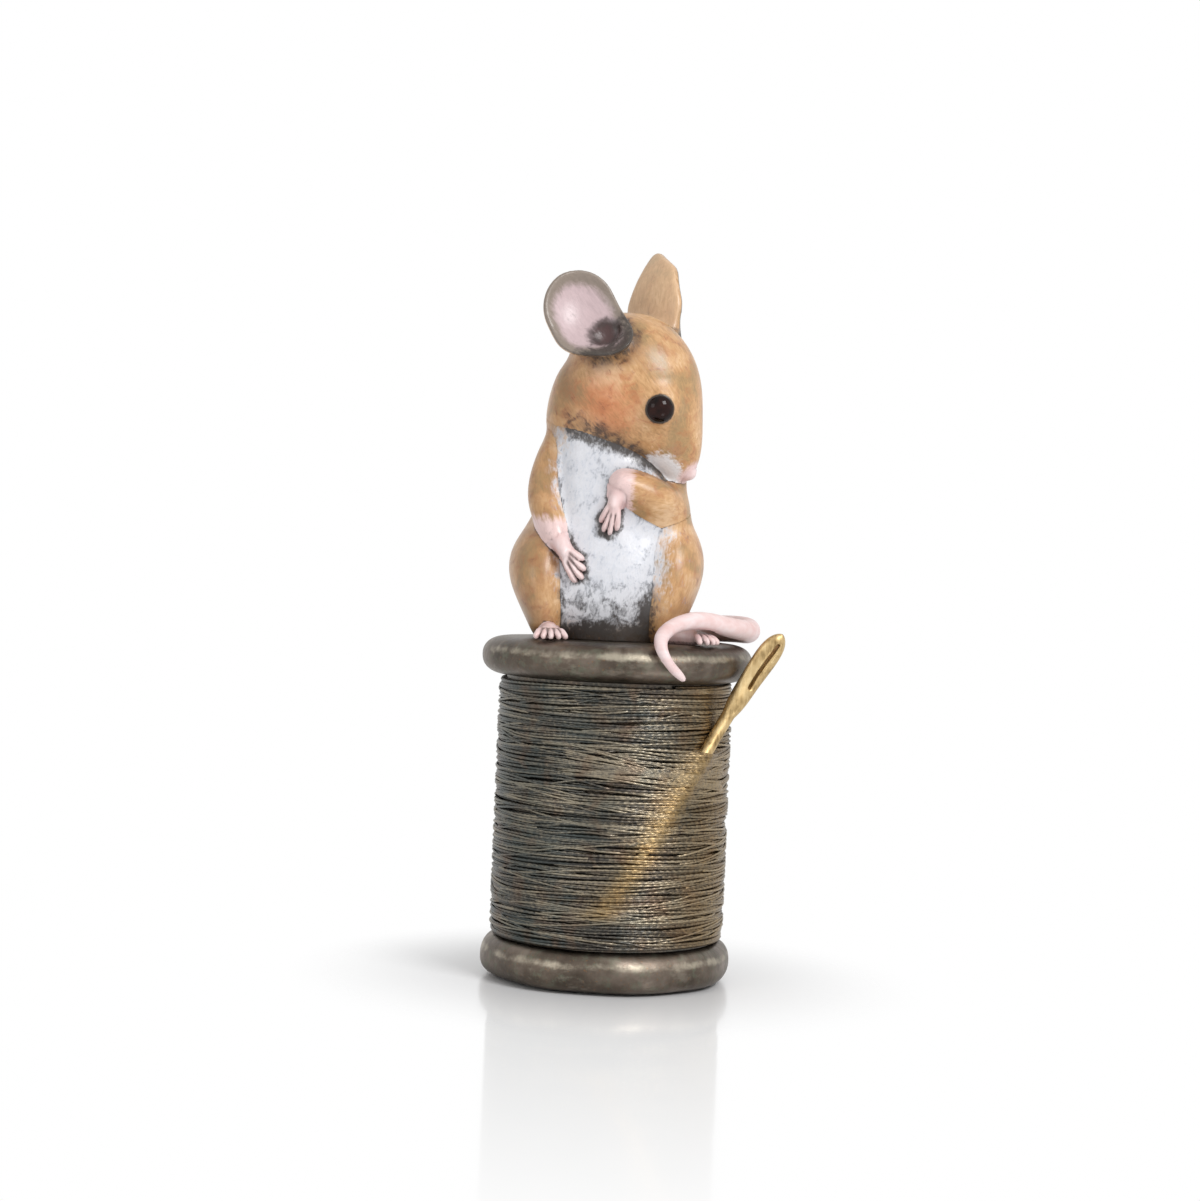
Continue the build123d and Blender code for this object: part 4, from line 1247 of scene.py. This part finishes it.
# Thread cast in bronze: fine plied strands, gold where the needle lifts them, painted light over the right
# of the front and a greenish painted shade over the left
def makeThreadBronze():
    material, tree = newMaterial("bronzeThread")
    gild, leftShade, tint, along, around = (addNode(tree, "Attribute", {"attribute_name": layer}, out="Fac")
                                       for layer in ("gild", "leftShade", "tint", "along", "around"))
    inMm = inMillimetres(tree)
    cloud = addNode(tree, "TexNoise", {"Scale": 1 / threadSet["cloudWidth"], "Detail": 4.0}, {"Vector": inMm})
    grit = addNode(tree, "TexNoise", {"Scale": 1 / threadSet["gritWidth"], "Detail": 3.0, "Roughness": 0.7},
                   {"Vector": inMm})
    rust = addNode(tree, "TexNoise", {"Scale": 1 / threadSet["rustWidth"], "Detail": 3.0, "Distortion": 0.5},
                   {"Vector": inMm})
    tone = addNode(tree, "Math", {"operation": "MULTIPLY_ADD", 1: 0.12}, {0: tint, 2: grit})
    tones = ((0.28, "#3B3937"), (0.8, "#948A78"), (0.5, "#5B5650"))
    colour = addNode(tree, "ValToRGB", {"stops": tones}, {"Fac": tone})
    leftShadeCloud = addNode(tree, "Math", {"operation": "MULTIPLY_ADD", 1: 0.2}, {0: leftShade, 2: cloud})
    # greenish painted shade over the left of the front, clouded
    colour = layCoat(tree, colour, "#4A5352", leftShadeCloud, 0.45, 0.75, 0.6, "LINEAR")
    colour = layCoat(tree, colour, "#6F5440", rust, 0.5, 0.7, 0.4, "LINEAR")
    worn = addNode(tree, "Math", {"operation": "MULTIPLY_ADD", 1: 1.4, 2: -0.7}, {0: grit})
    giltAndLitSide = addNode(tree, "Math", {"operation": "ADD", "use_clamp": True}, {0: gild, 1: worn})
    giltAndLitSide = addNode(tree, "Math", {"operation": "MULTIPLY"}, {0: giltAndLitSide, 1: gild})
    # gold over the needle together with painted light on the right of the front, broken up by wear
    colour = layCoat(tree, colour, "#B2925C", giltAndLitSide, 0.0, 1.0, 1.0, "LINEAR")
    ply = addNode(tree, "Math", {"operation": "MULTIPLY_ADD", 1: 2 * math.pi / threadSet["ply"]},
                  {0: along, 2: around})
    ply = addNode(tree, "Math", {"operation": "SINE"}, {0: ply})
    bump = addNode(tree, "Bump", {"Strength": 0.22, "Distance": 0.04 * mm}, {"Height": ply})
    gloss = addNode(tree, "MapRange", {"To Min": 0.28, "To Max": 0.5}, {"Value": grit})
    return setShader(material, {"Base Color": colour, "Roughness": gloss, "Normal": bump, "Metallic": 1.0})


threadBronze = makeThreadBronze()
makeWinding()

# Needle: its solid with the edges worn round
needleSet = {
    "voxel": 0.1,
    "band": 6,
    "margin": 1.0,
    "soften": 2,
    "fuller": 0.2,           # mm added all round
    "lean": 0.65,            # radians, for the file marks along the stem
    "markWidth": 0.28571,
    "markShrink": 0.16,
    "cloudWidth": 2.0,
}


# Needle in golden bronze: drawn and filed, dull gold clouded with brown along the file marks
def makeGoldBronze():
    material, tree = newMaterial("goldenBronze")
    inMm = inMillimetres(tree)
    turned = addNode(tree, "Mapping", {"Rotation": (0.0, needleSet["lean"], 0.0),
                     "Scale": (1.0, 1.0, needleSet["markShrink"])}, {"Vector": inMm})
    drawn = addNode(tree, "TexNoise", {"Scale": 1 / needleSet["markWidth"], "Detail": 4.0},
                    {"Vector": turned})
    cloud = addNode(tree, "TexNoise", {"Scale": 1 / needleSet["cloudWidth"], "Detail": 4.0}, {"Vector": inMm})
    tone = addNode(tree, "Math", {"operation": "MULTIPLY_ADD", 1: 0.6}, {0: drawn, 2: cloud})
    tones = ((0.55, "#8C744E"), (1.0, "#DBC496"), (0.78, "#C6AB7C"))
    colour = addNode(tree, "ValToRGB", {"stops": tones}, {"Fac": tone})
    bump = addNode(tree, "Bump", {"Strength": 0.35, "Distance": 0.05 * mm}, {"Height": drawn})
    gloss = addNode(tree, "MapRange", {"To Min": 0.38, "To Max": 0.55}, {"Value": cloud})
    return setShader(material, {"Base Color": colour, "Roughness": gloss, "Normal": bump, "Metallic": 1.0})


def makeNeedle():
    size, band = needleSet["voxel"], needleSet["band"]
    low, high = (np.array(corner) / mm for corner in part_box("needle"))
    first = np.floor((low - needleSet["margin"]) / size).astype(int)
    shape = np.ceil((high + needleSet["margin"]) / size).astype(int) - first
    values = soften(solidField("needle", size, band, first, shape), needleSet["soften"])
    points, quads = fieldSurface(values - np.float32(needleSet["fuller"]), size, band, first)
    makePiece("needle_filed", points, quads, makeGoldBronze(), "needle")


makeNeedle()

# Felt pad glued under the reel
feltSet = {
    "radius": 13.2,
    "hole": 0.4,             # pinhole that the turned outline leaves in the middle
    "thickness": 1.0,
    "corner": 0.3,
    "fuzz": 0.05,
    "fuzzEdge": 0.6,
    "fibreWidth": 0.45455,
    "steps": 240,
    "seed": 9,
}


# Wool felt: matted dark fibres with a soft nap
def makeFelt():
    material, tree = newMaterial("woolFelt")
    fibre = addNode(tree, "TexNoise", {"Scale": 1 / feltSet["fibreWidth"], "Detail": 5.0, "Distortion": 2.5},
                    {"Vector": inMillimetres(tree)})
    colour = addNode(tree, "ValToRGB", {"stops": ((0.3, "#1E1F1E"), (0.7, "#3C3E3B"))}, {"Fac": fibre})
    bump = addNode(tree, "Bump", {"Strength": 0.8, "Distance": 0.1 * mm}, {"Height": fibre})
    return setShader(material, {"Base Color": colour, "Normal": bump, "Roughness": 0.95, "Sheen Weight": 0.3})


def makePad():
    draw = np.random.default_rng(feltSet["seed"])
    thick, corner, hole = feltSet["thickness"], feltSet["corner"], feltSet["hole"]
    flat = feltSet["radius"] - corner
    turn = np.linspace(0, np.pi / 2, 6)
    bend = np.stack([flat + corner * np.sin(turn), corner - corner * np.cos(turn)], axis=1)
    upper = np.stack([bend[::-1, 0], thick - bend[::-1, 1]], axis=1)
    under = np.linspace((hole, 0), (flat, 0), 30, endpoint=False)
    outline = np.concatenate([under, bend, upper, np.linspace((flat, thick), (hole, thick), 12)[1:]])
    fuzz = draw.normal(0, 1, (feltSet["steps"], len(outline)))

    def uneven(turn, radius, height):
        edge = smoothStep(feltSet["radius"] - feltSet["fuzzEdge"], feltSet["radius"], radius)
        return radius - feltSet["fuzz"] * edge * np.abs(fuzz), height

    points, quads = lathe(outline, feltSet["steps"], uneven)
    makePiece("pad_felt", points, quads, makeFelt(), "base_pad")


makePad()


# Zinc-plated steel of the fixing, hidden inside the reel: pale grey with a faint crystal bloom
def makeSteel():
    material, tree = newMaterial("zincPlatedSteel")
    bloom = addNode(tree, "TexVoronoi", {"Scale": 1.2}, {"Vector": inMillimetres(tree)}, out="Color")
    colour = addNode(tree, "ValToRGB", {"stops": ((0.0, "#8B8E91"), (1.0, "#B4B7B9"))}, {"Fac": bloom})
    gloss = addNode(tree, "MapRange", {"To Min": 0.28, "To Max": 0.42}, {"Value": bloom})
    return setShader(material, {"Base Color": colour, "Roughness": gloss, "Metallic": 1.0})


dress(makeSteel(), "fixing_stud", "washer", "nut")
dress(patina, "reel_barrel")
dress(threadBronze, "thread_core")
print("reel dressed")

# Stage: a pale floor, a white world and two soft lamps
stageSet = {
    "floorHalf": 3000.0,
    "floorTint": "#F4F4F5",
    "floorNear": 15.0,       # the floor shades out to here, then fades to the white surroundings
    "floorFar": 42.0,
    "mirror": 0.32,          # share that the polished floor reflects, falling off to the mirror's end
    "mirrorEnd": 120.0,
    "ambient": 0.5,
    "lamps": (((260, -300, 330), 180.0, 1.5), ((-330, -330, 160), 200.0, 0.28)),    # place, size, watts
    "lampAim": (0, 0, 45),
}


def seenDirectly(tree):
    # One for rays from the camera and from mirrors and glass, nought for those that only light things
    rays = ("Is Camera Ray", "Is Glossy Ray", "Is Transmission Ray")
    camera, glossy, clear = (addNode(tree, "LightPath", out=ray) for ray in rays)
    seen = addNode(tree, "Math", {"operation": "ADD"}, {0: camera, 1: glossy})
    return addNode(tree, "Math", {"operation": "ADD", "use_clamp": True}, {0: seen, 1: clear})


def makeWorld():
    world = bpy.data.worlds.new("studio")
    bpy.context.scene.world = world
    world.use_nodes = True
    tree = world.node_tree
    background = tree.nodes["Background"]
    background.inputs["Color"].default_value = (1, 1, 1, 1)
    ambient = stageSet["ambient"]
    strength = addNode(tree, "Math", {"operation": "MULTIPLY_ADD", 1: 1 - ambient, 2: ambient},
                       {0: seenDirectly(tree)})
    tree.links.new(strength, background.inputs["Strength"])


# Polished white board: it keeps the shadow and a faint reflection near the reel
def makeFloor():
    half = stageSet["floorHalf"] * mm
    mesh = bpy.data.meshes.new("floor")
    corners = [(-half, -half, 0), (half, -half, 0), (half, half, 0), (-half, half, 0)]
    mesh.from_pydata(corners, [], [(0, 1, 2, 3)])
    floor = bpy.data.objects.new("floor", mesh)
    bpy.context.scene.collection.objects.link(floor)
    material, tree = newMaterial("paleFloor")
    setShader(material, {"Base Color": toLinear(stageSet["floorTint"]), "Roughness": 0.22})
    reach = addNode(tree, "VectorMath", {"operation": "LENGTH"}, {0: inMillimetres(tree)}, out="Value")
    fade = addNode(tree, "MapRange", {"interpolation_type": "SMOOTHSTEP", "From Min": stageSet["floorNear"],
                   "From Max": stageSet["floorFar"]}, {"Value": reach})
    fade = addNode(tree, "Math", {"operation": "MULTIPLY"}, {0: fade, 1: seenDirectly(tree)})
    polish = addNode(tree, "MapRange", {"From Min": stageSet["floorNear"], "From Max": stageSet["mirrorEnd"],
                     "To Min": stageSet["mirror"], "To Max": 0.0}, {"Value": reach})
    white = addNode(tree, "Emission", {"Color": (1, 1, 1, 1), "Strength": 1.0})
    sheen = addNode(tree, "BsdfAnisotropic", {"Color": (1, 1, 1, 1), "Roughness": 0.08})
    white = addNode(tree, "MixShader", links={0: polish, 1: white, 2: sheen})
    shaded = tree.nodes["Principled BSDF"].outputs[0]
    mixed = addNode(tree, "MixShader", links={0: fade, 1: shaded, 2: white})
    tree.links.new(mixed, tree.nodes["Material Output"].inputs["Surface"])
    mesh.materials.append(material)


def makeLamps():
    for place, size, power in stageSet["lamps"]:
        data = bpy.data.lights.new("softbox", "AREA")
        data.size = size * mm
        data.energy = power
        lamp = bpy.data.objects.new("softbox", data)
        bpy.context.scene.collection.objects.link(lamp)
        lamp.location = Vector(place) * mm
        lamp.rotation_mode = "QUATERNION"
        lamp.rotation_quaternion = (Vector(place) - Vector(stageSet["lampAim"])).to_track_quat("Z", "Y")


makeWorld()
makeFloor()
makeLamps()
print("stage set")
bpy.context.scene.view_settings.view_transform = "Standard"
